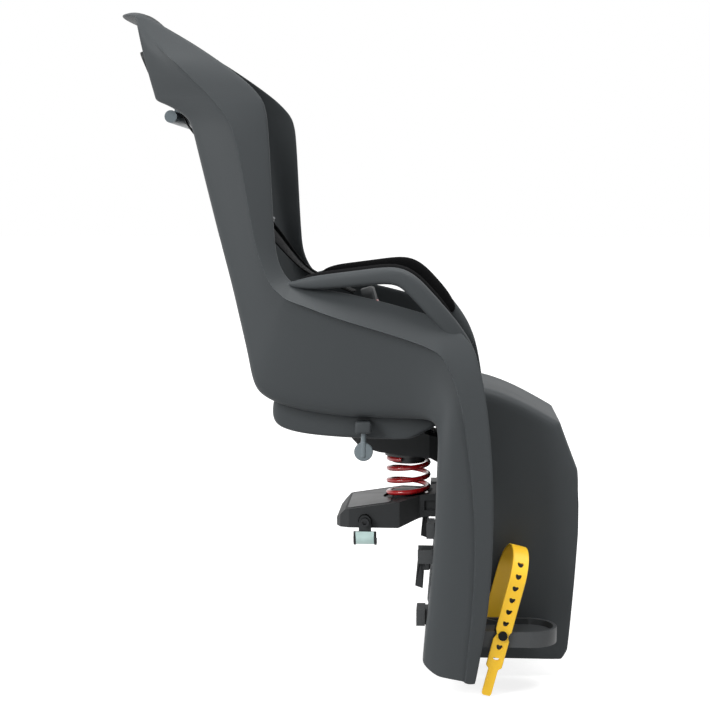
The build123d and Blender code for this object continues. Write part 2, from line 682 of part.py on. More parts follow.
def rail_sector(r_in, r_out, from_deg, to_deg, half):
    """Sector of a ring about the right rail, reaching half along X on each side; 0 degrees is outwards."""
    inner = CenterArc((0, 0), r_in, from_deg, to_deg - from_deg)
    outer = CenterArc((0, 0), r_out, from_deg, to_deg - from_deg)
    face = make_face([inner, outer, Line(inner @ 0, outer @ 0), Line(inner @ 1, outer @ 1)])
    outwards = Plane(origin=(0, -RAIL_Y, -RAIL_R), x_dir=(0, -1, 0), z_dir=(1, 0, 0))
    return extrude(outwards * face, amount=half, both=True)


def make_jaw_block():
    """Moulded jaw that hooks round the right rail, with the eye for the clamp screw."""
    eye_in = HOUSING_HALF + 0.5
    eye_out = RAIL_Y + RAIL_R + JAW_PAD
    block = rail_sector(RAIL_R, RAIL_R + JAW_PAD, 125, -25, JAW_HALF)
    for x in (-JAW_HALF + JAW_CAP / 2, JAW_HALF - JAW_CAP / 2):
        block += Pos(x, 0, 0) * rail_sector(RAIL_R, RAIL_R + JAW_PAD + JAW_PLATE + 0.8, 118, 5, JAW_CAP / 2)
    block += slab(-EYE_R, EYE_R, -eye_out, -eye_in, -RAIL_R, SCREW_Z)
    block += rod_y(EYE_R, -eye_out, -eye_in, 0, SCREW_Z)
    block -= Pos(0, -RAIL_Y, -RAIL_R) * Rot(0, 90, 0) * Cylinder(RAIL_R, 4 * JAW_HALF)
    return block - rod_y(SCREW_R + 0.4, -FAR, FAR, 0, SCREW_Z)


def make_jaw_plate():
    """Folded steel plate over the right jaw, between its end caps."""
    r_in = RAIL_R + JAW_PAD + 0.1
    half = JAW_HALF - JAW_CAP - 0.2
    plate = rail_sector(r_in, r_in + JAW_PLATE, 112, 0, half)
    return plate + slab(-half, half, -RAIL_Y - r_in - JAW_PLATE, -RAIL_Y - r_in, -RAIL_R, -RAIL_R + 5)


def make_clamp_screw():
    """Cross screw, with its socket head in the right jaw and its end beyond the nut."""
    face = RAIL_Y + RAIL_R + JAW_PAD
    screw = rod_y(SCREW_R, -face, face + NUT_THICK + 2 * JAW_TRAVEL + 2, 0, SCREW_Z)
    screw += rod_y(1.8 * SCREW_R, -face - 5, -face, 0, SCREW_Z)
    socket = Pos(0, -face - 5, SCREW_Z) * extrude(Plane.XZ * RegularPolygon(SCREW_R, 6), amount=3, both=True)
    return screw - socket


def make_clamp_nut():
    face = RAIL_Y + RAIL_R + JAW_PAD
    nut = Pos(0, face + NUT_THICK / 2, SCREW_Z) * extrude(
        Plane.XZ * RegularPolygon(1.9 * SCREW_R, 6), amount=NUT_THICK / 2, both=True)
    return nut - rod_y(SCREW_R + 0.1, -FAR, FAR, 0, SCREW_Z)


def wall_rear_x(z):
    """Rear face of the leg channel's back wall at height z."""
    places = sorted((base[1], base[0]) for base, *rest in STATIONS if base[1] < SEAT_UNDER - 1)
    return float(numpy.interp(z, [place[0] for place in places], [place[1] for place in places]))


def hook(z_low, z_high, head_thick):
    """Neck through the channel's slot, with a head that hooks behind the wall."""
    front = wall_rear_x(z_low) - HOOK_GAP
    neck_half = SLOT_HALF - 1
    neck = slab(front - head_thick, FOOT_PLATE_X, -FOOT_Y - neck_half, -FOOT_Y + neck_half, z_low, z_high)
    return neck + slab(front - head_thick, front, -FOOT_Y - HEAD_HALF, -FOOT_Y + HEAD_HALF, z_low, z_high)


def latch_axis():
    """X and Z of the latch's pin, and the front of its ears behind the wall."""
    front = wall_rear_x(LATCH_Z - 8) - HOOK_GAP
    return front - LATCH_GAP - 8, LATCH_Z, front


def foot_plan(margin):
    """D-shaped plan of the footrest, drawn in by a margin."""
    half = FOOT_HALF - margin
    centre_x = FOOT_FRONT_X - FOOT_HALF
    rear_end = FOOT_PLATE_X + margin
    plan = Pos((rear_end + centre_x) / 2, 0) * Rectangle(centre_x - rear_end, 2 * half)
    return plan + Pos(centre_x, 0) * Circle(half)


def make_footrest():
    """Right footrest: a rimmed shelf on a plate that slides up the leg channel."""
    shelf = extrude(foot_plan(0), amount=-FOOT_THICK)
    shelf -= extrude(foot_plan(FOOT_WALL), amount=-FOOT_RIM)
    under = foot_plan(FOOT_WALL) - Pos(FOOT_FRONT_X - FOOT_HALF - 20, 0) * Rectangle(FOOT_WALL, 3 * FOOT_HALF)
    shelf -= Pos(0, 0, -FOOT_RIM - FOOT_WALL) * extrude(under, amount=-FOOT_THICK)
    rest = Pos(0, -FOOT_Y, FOOT_TOP_Z) * shelf
    plate_half = FOOT_HALF - 6
    rest += slab(FOOT_PLATE_X, FOOT_PLATE_X + FOOT_PLATE, -FOOT_Y - plate_half, -FOOT_Y + plate_half,
                 FOOT_TOP_Z - FOOT_THICK, FOOT_PLATE_TOP)
    rest += hook(FOOT_PLATE_TOP - 22, FOOT_PLATE_TOP - 4, 9)
    rest += hook(FOOT_TOP_Z + 1, FOOT_TOP_Z + 20, 10)
    pin_x, pin_z, front = latch_axis()
    neck_half = SLOT_HALF - 1
    rest += slab(front - 2.5, FOOT_PLATE_X, -FOOT_Y - neck_half, -FOOT_Y + neck_half, pin_z - 8, pin_z + 8)
    for side in (-1, 1):
        near = -FOOT_Y + side * (LATCH_HALF + 0.5)
        far = -FOOT_Y + side * (LATCH_HALF + 4)
        rest += slab(pin_x - 4.5, front, near, far, pin_z - 8, pin_z + 8)
    rest += rod_y(LATCH_PIN, -FOOT_Y - LATCH_HALF - 4, -FOOT_Y + LATCH_HALF + 4, pin_x, pin_z)
    return rest + strap_frame() * strap_ears()


def make_footrest_latch():
    """Release lever behind the right guard, hung on the footrest's pin."""
    pin_x, pin_z, front = latch_axis()
    low = pin_z - LATCH_LENGTH
    low_x = wall_rear_x(low) - LATCH_GAP - 3.5
    blade = side_face(Polyline((pin_x - 4.2, pin_z), (pin_x + 4.2, pin_z), (low_x, low), (low_x - 9, low + 3),
                               close=True))
    lever = across(blade, LATCH_HALF, -FOOT_Y)
    lever += rod_y(4.2, -FOOT_Y - LATCH_HALF, -FOOT_Y + LATCH_HALF, pin_x, pin_z)
    return lever - rod_y(LATCH_PIN + FIT, -FOOT_Y - FAR, -FOOT_Y + FAR, pin_x, pin_z)


def strap_frame():
    """Place of the right foot strap: leaning forward, and turned so that its outer run is further forward."""
    return Pos(STRAP_X, -FOOT_Y, FOOT_TOP_Z) * Rot(0, 0, STRAP_TURN) * Rot(0, STRAP_TILT, 0)


def strap_ears():
    """Pads on both sides of the footrest that carry the strap, in the strap's own place."""
    face = STRAP_ARCH - STRAP_THICK / 2 - 0.1
    outer = slab(-8, 8, -face, -FOOT_HALF + 8, -STRAP_ROOT, 6)
    inner = slab(-8, 8, FOOT_HALF - 8, face, -STRAP_ROOT, -2)
    return outer + inner


def strap_hole():
    """Heart-like button hole that takes the stud's neck, with its point downwards."""
    r = STUD_R + FIT
    return side_face(Polyline((-r, 1.3 * r), (0, r), (r, 1.3 * r), (1.4 * r, 0), (0, -1.8 * r), (-1.4 * r, 0),
                              close=True))


def hole_place(z):
    """Place on the strap's outer run at height z; beyond the straight run it goes on round the arch."""
    if z <= STRAP_RISE:
        return Pos(0, -STRAP_ARCH, z)
    return Pos(0, 0, STRAP_RISE) * Rot(-degrees((z - STRAP_RISE) / STRAP_ARCH), 0, 0) * Pos(0, -STRAP_ARCH, 0)


def make_foot_strap():
    """Soft strap with a row of button holes, rooted on the inner side of the right footrest."""
    path = FilletPolyline((0, STRAP_ARCH, -STRAP_ROOT), (0, STRAP_ARCH, STRAP_RISE + STRAP_ARCH),
                          (0, -STRAP_ARCH, STRAP_RISE + STRAP_ARCH), (0, -STRAP_ARCH, -STRAP_TAIL),
                          radius=STRAP_ARCH - 0.01)
    start = Plane(origin=path @ 0, x_dir=(1, 0, 0), z_dir=path % 0)
    strap = sweep(start * Rectangle(STRAP_WIDTH, STRAP_THICK), path=path)
    for row in range(-HOLES_BELOW, HOLES_ABOVE + 1):
        strap -= hole_place(HOLE_PITCH * row + STUD_Z) * across(strap_hole(), 5)
    for side in (-1, 1):
        strap -= slab(side * TAIL_WIDTH / 2, side * STRAP_WIDTH, -STRAP_ARCH - 5, -STRAP_ARCH + 5,
                      -STRAP_TAIL - 5, -STRAP_TAIL + TAIL_LENGTH)
    strap -= Pos(0, STRAP_ARCH, -STRAP_ROOT + 6) * across(Plane.XZ * Rectangle(2.4 * STUD_R, 2.4 * STUD_R), 5)
    return strap_frame() * strap


def stud(side, z):
    """Mushroom stud through the strap, from the footrest's ear on one side."""
    root = STRAP_ARCH - STRAP_THICK / 2 - 0.1
    tip = STRAP_ARCH + STRAP_THICK / 2 + 0.3
    upright = small_round(STUD_R, root, tip) + small_round(STUD_HEAD_R, tip, tip + STUD_HEAD)
    return Pos(0, 0, z) * Rot(-90 * side, 0, 0) * upright


def make_strap_stud():
    return strap_frame() * stud(-1, STUD_Z)


def make_strap_rivet():
    return strap_frame() * stud(1, -STRAP_ROOT + 6)


def reflector_place():
    """Middle of the reflector on the hood's raked rear skin."""
    z = HEAD_TOP - REFLECTOR_DROP
    return Pos(rear_x(z), 0, z) * Rot(0, -BACK_RAKE - REFLECTOR_LEAN, 0)


def rounded_plate(thick, width, height, rounding, rear):
    """Plate across X with rounded corners, its rear face at a place along X."""
    plate = Pos(rear + thick / 2, 0, 0) * Box(thick, width, height)
    return fillet(plate.edges().filter_by(Axis.X), rounding)


def make_reflector_frame():
    rear = -REFLECTOR_THICK - SEAM
    frame = rounded_plate(2 * REFLECTOR_THICK, 2 * REFLECTOR_HALF, REFLECTOR_HEIGHT, 10, rear)
    border = REFLECTOR_BORDER
    frame -= rounded_plate(5, 2 * (REFLECTOR_HALF - border), REFLECTOR_HEIGHT - 2 * border, 10 - border, rear)
    return reflector_place() * frame - Pos(-SEAM, 0, 0) * OUTER_BODY


def make_rear_reflector():
    rear = -REFLECTOR_THICK - SEAM
    border = REFLECTOR_BORDER + SEAM
    return reflector_place() * rounded_plate(
        5, 2 * (REFLECTOR_HALF - border), REFLECTOR_HEIGHT - 2 * border, 10 - border, rear)


def anchor_axis():
    """X and Z of the bar that the shoulder straps pass round, below the hood's step."""
    return rear_x(STEP_TOP) + 11, STEP_TOP - 16


def make_strap_anchor():
    """Bar behind the back, hung on two posts from the hood's step."""
    x, z = anchor_axis()
    anchor = rod_y(ANCHOR_R, -ANCHOR_HALF, ANCHOR_HALF, x, z)
    for side in (-1, 1):
        y = side * ANCHOR_POST_Y
        anchor += slab(x - 0.7 * ANCHOR_R, x + 0.7 * ANCHOR_R, y - 4, y + 4, z, z + 4 * ANCHOR_R)
    return anchor - Pos(-SEAM, 0, -SEAM) * OUTER_BODY


def web_plane():
    """Upright plane of the right shoulder strap, from its slot to the buckle."""
    z = HEAD_TOP - SLOT_DROP
    run = Vector(BUCKLE_X - rear_x(z), SLOT_Y - WEB_MEET_Y, 0)
    return Plane(origin=(rear_x(z), -SLOT_Y, 0), x_dir=run, z_dir=run.cross(Vector(0, 0, 1)))


def ribbon(plane, points, radius, width, thick):
    """Flat webbing along a line in an upright plane."""
    path = plane * FilletPolyline(*points, radius=radius)
    start = Plane(origin=path @ 0, x_dir=plane.z_dir, z_dir=path % 0)
    return sweep(start * Rectangle(width, thick), path=path)


def make_shoulder_strap():
    """Right shoulder strap: from the anchor through its slot, then down in a slack line to the buckle."""
    z = HEAD_TOP - SLOT_DROP
    chest = (WEB_CHEST[0], z - WEB_CHEST[1])
    waist = (WEB_WAIST[0], z - WEB_WAIST[1])
    points = [(-26.8, z + 34.5), (-22.2, z + 24), (-8, z + 6), (14, z - 8), chest, waist,
              (WEB_END, WEB_END_Z)]
    return ribbon(web_plane(), points, 8, WEB_WIDTH, WEB_THICK)


def make_strap_adjuster():
    """Ladder-lock slider on the right shoulder strap."""
    z = HEAD_TOP - SLOT_DROP
    lean = Vector(WEB_WAIST[0] - WEB_CHEST[0], WEB_CHEST[1] - WEB_WAIST[1]).normalized()
    plane = web_plane()
    centre = plane.from_local_coords(Vector(WEB_CHEST[0], z - WEB_CHEST[1]) + lean * 26)
    along = plane.x_dir * lean.X + Vector(0, 0, 1) * lean.Y
    place = Plane(origin=centre, x_dir=plane.z_dir, z_dir=along)
    bar = Box(WEB_WIDTH + 8, 4 * WEB_THICK, 13) - Box(WEB_WIDTH + 1.5, WEB_THICK + 0.8, 40)
    return place * bar


def buckle_place():
    return Pos(BUCKLE_X, 0, SEAT_TOP + BUCKLE_RISE) * Rot(0, -BUCKLE_LEAN, 0)


def make_buckle():
    body = Box(BUCKLE_THICK, BUCKLE_WIDTH, BUCKLE_HEIGHT)
    body = fillet(body.edges().filter_by(Axis.X), 9)
    body = chamfer(body.faces().sort_by(Axis.X)[-1].edges(), 2.5)
    pocket = 2 * (BUTTON_HALF + FIT)
    body -= Pos(BUCKLE_THICK / 2, 0, 0) * Box(2 * (BUTTON_DEPTH + BUTTON_TRAVEL), pocket, pocket)
    return buckle_place() * body


def make_buckle_button():
    length = BUTTON_DEPTH + BUTTON_PROUD
    button = Box(length, 2 * BUTTON_HALF, 2 * BUTTON_HALF)
    button = chamfer(button.faces().sort_by(Axis.X)[-1].edges(), 1)
    return buckle_place() * Pos(BUCKLE_THICK / 2 + BUTTON_PROUD - length / 2, 0, 0) * button


def make_crotch_strap():
    """Webbing from the seat floor up to the buckle."""
    low = buckle_place() * Pos(0, 0, -BUCKLE_HEIGHT / 2 - SEAM)
    top = low.position
    points = [(top.X, top.Z), (top.X + 16, top.Z - 44), (top.X + 34, SEAT_TOP + SEAM)]
    return ribbon(Plane.XZ, points, 30, WEB_WIDTH, WEB_THICK)


PAIRS = {
    "armrest_pad": make_armrest_pad,
    "jaw_block": make_jaw_block,
    "jaw_plate": make_jaw_plate,
    "pivot_bush": make_pivot_bush,
    "footrest": make_footrest,
    "footrest_latch": make_footrest_latch,
    "foot_strap": make_foot_strap,
    "strap_stud": make_strap_stud,
    "strap_rivet": make_strap_rivet,
    "shoulder_strap": make_shoulder_strap,
    "strap_adjuster": make_strap_adjuster,
}

SINGLES = {
    "seat_shell": make_seat_shell,
    "base_tray": make_base_tray,
    "tray_screws": make_tray_screws,
    "thumb_screw": make_thumb_screw,
    "upper_arm": make_upper_arm,
    "carrier_housing": make_carrier_housing,
    "housing_cover": make_housing_cover,
    "spring": make_spring,
    "spring_seat_lower": lambda: spring_seat(1),
    "spring_seat_upper": lambda: spring_seat(-1),
    "pivot_pin": make_pivot_pin,
    "clamp_screw": make_clamp_screw,
    "clamp_nut": make_clamp_nut,
    "reflector_frame": make_reflector_frame,
    "rear_reflector": make_rear_reflector,
    "strap_anchor": make_strap_anchor,
    "buckle": make_buckle,
    "buckle_button": make_buckle_button,
    "crotch_strap": make_crotch_strap,
}

os.makedirs("parts", exist_ok=True)
for name, make in SINGLES.items():
    export_step(make(), f"parts/{name}.step")
for name, make in PAIRS.items():
    right, left = both_sides(make())
    export_step(right, f"parts/{name}_right.step")
    export_step(left, f"parts/{name}_left.step")
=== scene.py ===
import json
from math import asin, cos, pi, radians, sin, sqrt, tan

import bmesh
import bpy
from mathutils import Matrix, Quaternion, Vector


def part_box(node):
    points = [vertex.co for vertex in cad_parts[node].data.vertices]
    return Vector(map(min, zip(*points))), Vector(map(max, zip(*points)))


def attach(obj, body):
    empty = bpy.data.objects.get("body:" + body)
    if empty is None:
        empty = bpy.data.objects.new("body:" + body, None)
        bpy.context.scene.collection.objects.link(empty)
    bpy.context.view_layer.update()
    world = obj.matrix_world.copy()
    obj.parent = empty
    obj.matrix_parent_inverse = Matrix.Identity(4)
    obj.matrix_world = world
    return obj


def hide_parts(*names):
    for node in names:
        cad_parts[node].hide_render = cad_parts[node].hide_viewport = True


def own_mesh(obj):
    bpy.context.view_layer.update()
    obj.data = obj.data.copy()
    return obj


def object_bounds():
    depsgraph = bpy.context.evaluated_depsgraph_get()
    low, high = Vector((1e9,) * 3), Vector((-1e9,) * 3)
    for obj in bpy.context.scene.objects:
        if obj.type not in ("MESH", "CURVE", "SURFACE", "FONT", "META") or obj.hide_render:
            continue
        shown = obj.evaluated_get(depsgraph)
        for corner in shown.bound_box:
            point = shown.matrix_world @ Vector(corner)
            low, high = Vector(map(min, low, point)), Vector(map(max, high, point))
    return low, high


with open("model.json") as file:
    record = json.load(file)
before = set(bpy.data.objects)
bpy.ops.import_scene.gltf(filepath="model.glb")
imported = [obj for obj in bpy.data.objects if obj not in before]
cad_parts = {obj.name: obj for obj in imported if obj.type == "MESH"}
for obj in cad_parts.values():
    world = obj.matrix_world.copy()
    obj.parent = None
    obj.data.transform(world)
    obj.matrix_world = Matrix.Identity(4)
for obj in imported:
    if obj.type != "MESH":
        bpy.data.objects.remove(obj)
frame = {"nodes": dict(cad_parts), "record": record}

# Child bike seat for a rear carrier. Lengths are written in millimetres and set to metres by MM.
# X points forward, Y to the child's left and Z up. Pieces that come in pairs are drawn on the
# child's right and mirrored.
MM = 0.001
CAD_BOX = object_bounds()
NODES = frame["nodes"]
SIDES = ((-1, "right"), (1, "left"))

# Sizes of the solids that the pieces below keep to
HEAD_TOP = 628.0
SEAT_UNDER = 145.0
GUARD_FOOT = -149.0
GUARD_HALF = 192.0
GUARD_BACK_X = 88.0
GUARD_DEPTH = 63.0
WALL = 4.0
RIM = 5.0
BACK_FOOT_X = -128.5
BACK_FOOT_Z = 207.0
RAKE = tan(radians(14.0))
HOOD_DEPTH = 36.0
STEP_TOP = 514.0
STEP_HEIGHT = 29.5
CROWN_TOP = 624.0
CROWN_R = 700.0
CROWN_HALF = 96.0
SHOULDER_R = 34.0
SHOULDER_TURN = 42.0
LIP_REACH = 33.0
LIP_HALF = 98.0
LIP_PLAN_R = 157.5
NOSE_HALF = 95.0
NOSE_ROUND = 20.0
MOUTH_Z = 72.0
FOOT_Y = 137.0
FOOT_HALF = 32.0
FOOT_TOP = -96.0


def place(x, y, z):
    """Point in millimetres as a vector in metres."""
    return Vector((x, y, z)) * MM


# Turn that stands a flat ring or disc upright, facing along Y
UPRIGHT = Matrix.Rotation(pi / 2, 4, "X")

# Materials

def new_group(name, inputs, outputs):
    """Shader node group with named sockets, given as (name, kind, value)."""
    group = bpy.data.node_groups.new(name, "ShaderNodeTree")
    for label, kind, value in inputs:
        socket = group.interface.new_socket(label, in_out="INPUT", socket_type="NodeSocket" + kind)
        socket.default_value = value
    for label, kind in outputs:
        group.interface.new_socket(label, in_out="OUTPUT", socket_type="NodeSocket" + kind)
    return group, group.nodes.new("NodeGroupInput").outputs, group.nodes.new("NodeGroupOutput")


def add(tree, kind, links=(), **values):
    """Node with its values set; links pair an input's name or number with its source."""
    node = tree.nodes.new("ShaderNode" + kind)
    for key, value in values.items():
        if hasattr(node, key):
            setattr(node, key, value)
        else:
            node.inputs[key.replace("_", " ")].default_value = value
    for key, source in links:
        tree.links.new(source, node.inputs[key])
    return node


def feed(tree, entry, value):
    """Links a socket to an input, or sets the input's plain value."""
    if isinstance(value, bpy.types.NodeSocket):
        tree.links.new(value, entry)
    elif value is not None:
        entry.default_value = value


def connect(tree, node, **sources):
    """Links sockets to a node's inputs; names use _ for spaces."""
    for key, source in sources.items():
        tree.links.new(source, node.inputs[key.replace("_", " ")])


def maths(tree, operation, first, second=None):
    """Result of a sum on sockets or plain values."""
    node = add(tree, "Math", operation=operation)
    feed(tree, node.inputs[0], first)
    feed(tree, node.inputs[1], second)
    return node.outputs[0]


def remap(tree, value, start, end, low, high, **settings):
    """Value taken from one range to another and held at its ends."""
    node = add(tree, "MapRange", [("Value", value)], **settings)
    for key, limit in (("From Min", start), ("From Max", end), ("To Min", low), ("To Max", high)):
        feed(tree, node.inputs[key], limit)
    return node.outputs[0]


def ripple(tree, value, pace):
    """Row of round humps: the size of a sine that turns at a pace."""
    return maths(tree, "ABSOLUTE", maths(tree, "SINE", maths(tree, "MULTIPLY", value, pace)))


def blend_colours(tree, share, first, second):
    """Colour between two others; each argument is a socket or a value."""
    node = tree.nodes.new("ShaderNodeMix")
    node.data_type = "RGBA"
    for number, value in ((0, share), (6, first), (7, second)):
        feed(tree, node.inputs[number], value)
    return node.outputs[2]


def bump(tree, height, strength, distance):
    """Normal that follows a height."""
    node = add(tree, "Bump", [("Height", height)], Strength=strength, Distance=distance)
    return node.outputs[0]


def noise(tree, where, scale, detail, rough=0.5):
    """Noise at a place; its scale is a socket or a value."""
    node = add(tree, "TexNoise", [("Vector", where)], Detail=detail, Roughness=rough)
    feed(tree, node.inputs["Scale"], scale)
    return node.outputs["Fac"]


def make_skin_group():
    """Moulded skin: fine spark-eroded grain, slow mottling and a roughness that wanders."""
    group, given, end = new_group(
        "moulded_skin",
        [("Colour", "Color", (0.5, 0.5, 0.5, 1)), ("Mottle", "Float", 0.12),
         ("Roughness", "Float", 0.5), ("Grain", "Float", 900.0)],
        [("Colour", "Color"), ("Roughness", "Float"), ("Height", "Float")])
    where = add(group, "TexCoord").outputs["Object"]
    grain = given["Grain"]
    slow = noise(group, where, 11.0, 4.0, 0.6)
    fine = noise(group, where, grain, 2.0, 0.55)
    cells = add(group, "TexVoronoi", [("Vector", where), ("Scale", grain)], feature="F1")
    shift = maths(group, "SUBTRACT", slow, 0.5)
    amount = maths(group, "MULTIPLY", shift, given["Mottle"])
    tone = add(group, "HueSaturation", [("Color", given["Colour"]),
                                        ("Value", maths(group, "ADD", amount, 1.0))])
    wander = maths(group, "MULTIPLY", shift, 0.22)
    connect(group, end, Colour=tone.outputs[0],
            Roughness=maths(group, "ADD", given["Roughness"], wander),
            Height=maths(group, "ADD", fine, cells.outputs["Distance"]))
    return group


def make_wear_group():
    """Mask of handled edges: where the surface turns sharply, broken up by a noise."""
    group, given, end = new_group(
        "edge_wear", [("Reach", "Float", 0.0015), ("Amount", "Float", 0.5)], [("Mask", "Float")])
    where = add(group, "TexCoord").outputs["Object"]
    rounded = add(group, "Bevel", [("Radius", given["Reach"])], samples=6)
    flat = add(group, "NewGeometry").outputs["Normal"]
    same = add(group, "VectorMath", [(0, rounded.outputs[0]), (1, flat)], operation="DOT_PRODUCT")
    turned = remap(group, same.outputs["Value"], 0.995, 0.80, 0.0, 1.0)
    spots = noise(group, where, 60.0, 5.0, 0.65)
    broken = remap(group, spots, 0.38, 0.62, 0.15, 1.0)
    both = maths(group, "MULTIPLY", turned, broken)
    connect(group, end, Mask=maths(group, "MULTIPLY", both, given["Amount"]))
    return group


def make_weave_group():
    """Flat webbing on its own UV map: u runs once across, v along the length in metres."""
    group, given, end = new_group(
        "webbing_weave", [("Ribs", "Float", 14.0), ("Picks", "Float", 620.0)],
        [("Thread", "Float"), ("Height", "Float"), ("Selvedge", "Float")])
    parts = add(group, "SeparateXYZ", [(0, add(group, "UVMap").outputs[0])])
    across = maths(group, "MULTIPLY", parts.outputs[0], given["Ribs"])
    along = maths(group, "MULTIPLY", parts.outputs[1], given["Picks"])
    half = maths(group, "MULTIPLY", maths(group, "FLOOR", across), 0.5)
    stagger = maths(group, "ADD", along, half)
    thread = maths(group, "MULTIPLY", ripple(group, across, pi), ripple(group, stagger, pi))
    edge = maths(group, "ABSOLUTE", maths(group, "SUBTRACT", parts.outputs[0], 0.5))
    connect(group, end, Thread=thread, Height=thread,
            Selvedge=remap(group, edge, 0.40, 0.46, 0.0, 1.0))
    return group


SKIN = make_skin_group()
WEAR = make_wear_group()
WEAVE = make_weave_group()


def use(tree, group, **values):
    """Placed copy of a node group with its own values."""
    node = tree.nodes.new("ShaderNodeGroup")
    node.node_tree = group
    for key, value in values.items():
        node.inputs[key].default_value = value
    return node


def new_material(name, **constants):
    """Material with a Principled BSDF and its plain values; names use _ for spaces."""
    material = bpy.data.materials.new(name)
    material.use_nodes = True
    shader = material.node_tree.nodes["Principled BSDF"]
    for key, value in constants.items():
        shader.inputs[key.replace("_", " ")].default_value = value
    return material, material.node_tree, shader


def plastic(name, colour, rough=0.5, mottle=0.12, grain=900.0, relief=0.08, wear=0.35, worn=None,
            **constants):
    """Moulded plastic: grained skin, mottled colour and pale handled edges."""
    material, tree, shader = new_material(name, **constants)
    skin = use(tree, SKIN, Colour=(*colour, 1), Mottle=mottle, Roughness=rough, Grain=grain)
    edges = use(tree, WEAR, Reach=0.0012, Amount=wear)
    pale = worn or [min(1.0, 1.9 * part + 0.02) for part in colour]
    mixed = blend_colours(tree, edges.outputs["Mask"], skin.outputs["Colour"], (*pale, 1))
    connect(tree, shader, Base_Color=mixed, Roughness=skin.outputs["Roughness"],
            Normal=bump(tree, skin.outputs["Height"], relief, 0.0004))
    return material


# Scale of the drawn streaks on steel along X, Y and Z
STREAK = (60.0, 900.0, 900.0)


def metal(name, colour, rough):
    """Plated steel with fine drawn streaks along one direction."""
    material, tree, shader = new_material(name, Metallic=1.0)
    where = add(tree, "TexCoord").outputs["Object"]
    stretch = add(tree, "Mapping", [("Vector", where)], Scale=STREAK)
    lines = noise(tree, stretch.outputs[0], 1.0, 3.0)
    cloud = noise(tree, where, 70.0, 4.0)
    tone = remap(tree, cloud, 0.0, 1.0, 0.85, 1.1)
    tinted = add(tree, "HueSaturation", [("Value", tone)], Color=(*colour, 1))
    spread = remap(tree, lines, 0.0, 1.0, rough - 0.1, rough + 0.12)
    connect(tree, shader, Base_Color=tinted.outputs[0], Roughness=spread,
            Normal=bump(tree, lines, 0.12, 0.0003))
    return material


def webbing(name, colour, pale):
    """Woven polyester strap: ribs, picks, and a flat selvedge along both edges. The raised thread
    crowns are painted paler as a painted sheen.
    """
    material, tree, shader = new_material(name, Specular_IOR_Level=0.12)
    weave = use(tree, WEAVE)
    # Painted sheen: the thread crowns take the paler colour and the valleys between them stay dark
    # as painted shade
    mixed = blend_colours(tree, weave.outputs["Thread"], (*colour, 1), (*pale, 1))
    edged = blend_colours(tree, weave.outputs["Selvedge"], mixed, (*colour, 1))
    spread = remap(tree, weave.outputs["Thread"], 0.0, 1.0, 0.85, 0.62)
    connect(tree, shader, Base_Color=edged, Roughness=spread,
            Normal=bump(tree, weave.outputs["Height"], 0.6, 0.0006))
    return material


# Width of one prism of the reflector, in metres
PRISM_SIZE = 0.0032


def prismatic(name, colour, bright):
    """Reflector lens: small prisms in rows under a clear face, with a painted glint that makes each
    prism's crown a brighter red.
    """
    material, tree, shader = new_material(name, Roughness=0.35, Specular_IOR_Level=0.08)
    parts = add(tree, "SeparateXYZ", [(0, add(tree, "TexCoord").outputs["Object"])])
    across, up = (ripple(tree, parts.outputs[axis], pi / PRISM_SIZE) for axis in (1, 2))
    height = maths(tree, "MULTIPLY", across, up)
    # Painted glint: the prisms' crowns take the brighter red
    mixed = blend_colours(tree, height, (*colour, 1), (*bright, 1))
    connect(tree, shader, Base_Color=mixed, Normal=bump(tree, height, 0.7, 0.0008))
    return material


PLASTICS = {
    "shell_plastic": dict(colour=(0.049, 0.0545, 0.0578), rough=0.58, mottle=0.10, relief=0.10,
                          wear=0.5, Specular_IOR_Level=0.22),
    "black_plastic": dict(colour=(0.026, 0.028, 0.0295), rough=0.55, wear=0.2,
                          Specular_IOR_Level=0.25),
    "foot_plastic": dict(colour=(0.032, 0.035, 0.037)),
    "pad_rubber": dict(colour=(0.0045, 0.0045, 0.005), rough=0.78, grain=1600.0, relief=0.25,
                       wear=0.2, Specular_IOR_Level=0.1),
    "cover_plastic": dict(colour=(0.042, 0.045, 0.048), rough=0.36, relief=0.05),
    "seat_plastic": dict(colour=(0.014, 0.0145, 0.0155), rough=0.45),
    "spring_red": dict(colour=(0.50, 0.008, 0.012), rough=0.22, relief=0.03, grain=300.0, wear=0.0,
                       Coat_Weight=0.8, Coat_Roughness=0.08),
    "bush_plastic": dict(colour=(0.55, 0.55, 0.52), rough=0.4),
    "thumb_grey": dict(colour=(0.135, 0.165, 0.18), rough=0.38, wear=0.4),
    "strap_yellow": dict(colour=(0.92, 0.55, 0.022), rough=0.42, mottle=0.06, grain=1400.0,
                         relief=0.06, wear=0.15, worn=(0.95, 0.68, 0.12), Subsurface_Weight=0.08,
                         Subsurface_Radius=(0.004, 0.002, 0.0005), Subsurface_Scale=0.5),
    "stud_plastic": dict(colour=(0.006, 0.0062, 0.0066), rough=0.6, Specular_IOR_Level=0.12),
    "adjuster_grey": dict(colour=(0.15, 0.16, 0.165), rough=0.4),
    "button_red": dict(colour=(0.26, 0.008, 0.008), rough=0.3, wear=0.2, Coat_Weight=0.3),
}
MATERIALS = {name: plastic(name, **values) for name, values in PLASTICS.items()}
MATERIALS.update({
    "steel": metal("steel", (0.40, 0.52, 0.50), 0.34),
    "blackened_steel": metal("blackened_steel", (0.035, 0.036, 0.038), 0.42),
    # The webbing's second colour is a painted sheen on its thread crowns
    "webbing": webbing("webbing", (0.004, 0.0042, 0.0046), (0.011, 0.0115, 0.0125)),
    # The lens's second colour is a painted glint on the prisms' crowns
    "lens_red": prismatic("lens_red", (0.26, 0.003, 0.004), (0.42, 0.008, 0.010)),
})


# Building blocks of the pieces

def new_object(name, bm):
    """Object of a finished bmesh, placed in the scene."""
    mesh = bpy.data.meshes.new(name)
    bm.to_mesh(mesh)
    bm.free()
    made = bpy.data.objects.new(name, mesh)
    bpy.context.scene.collection.objects.link(made)
    return made


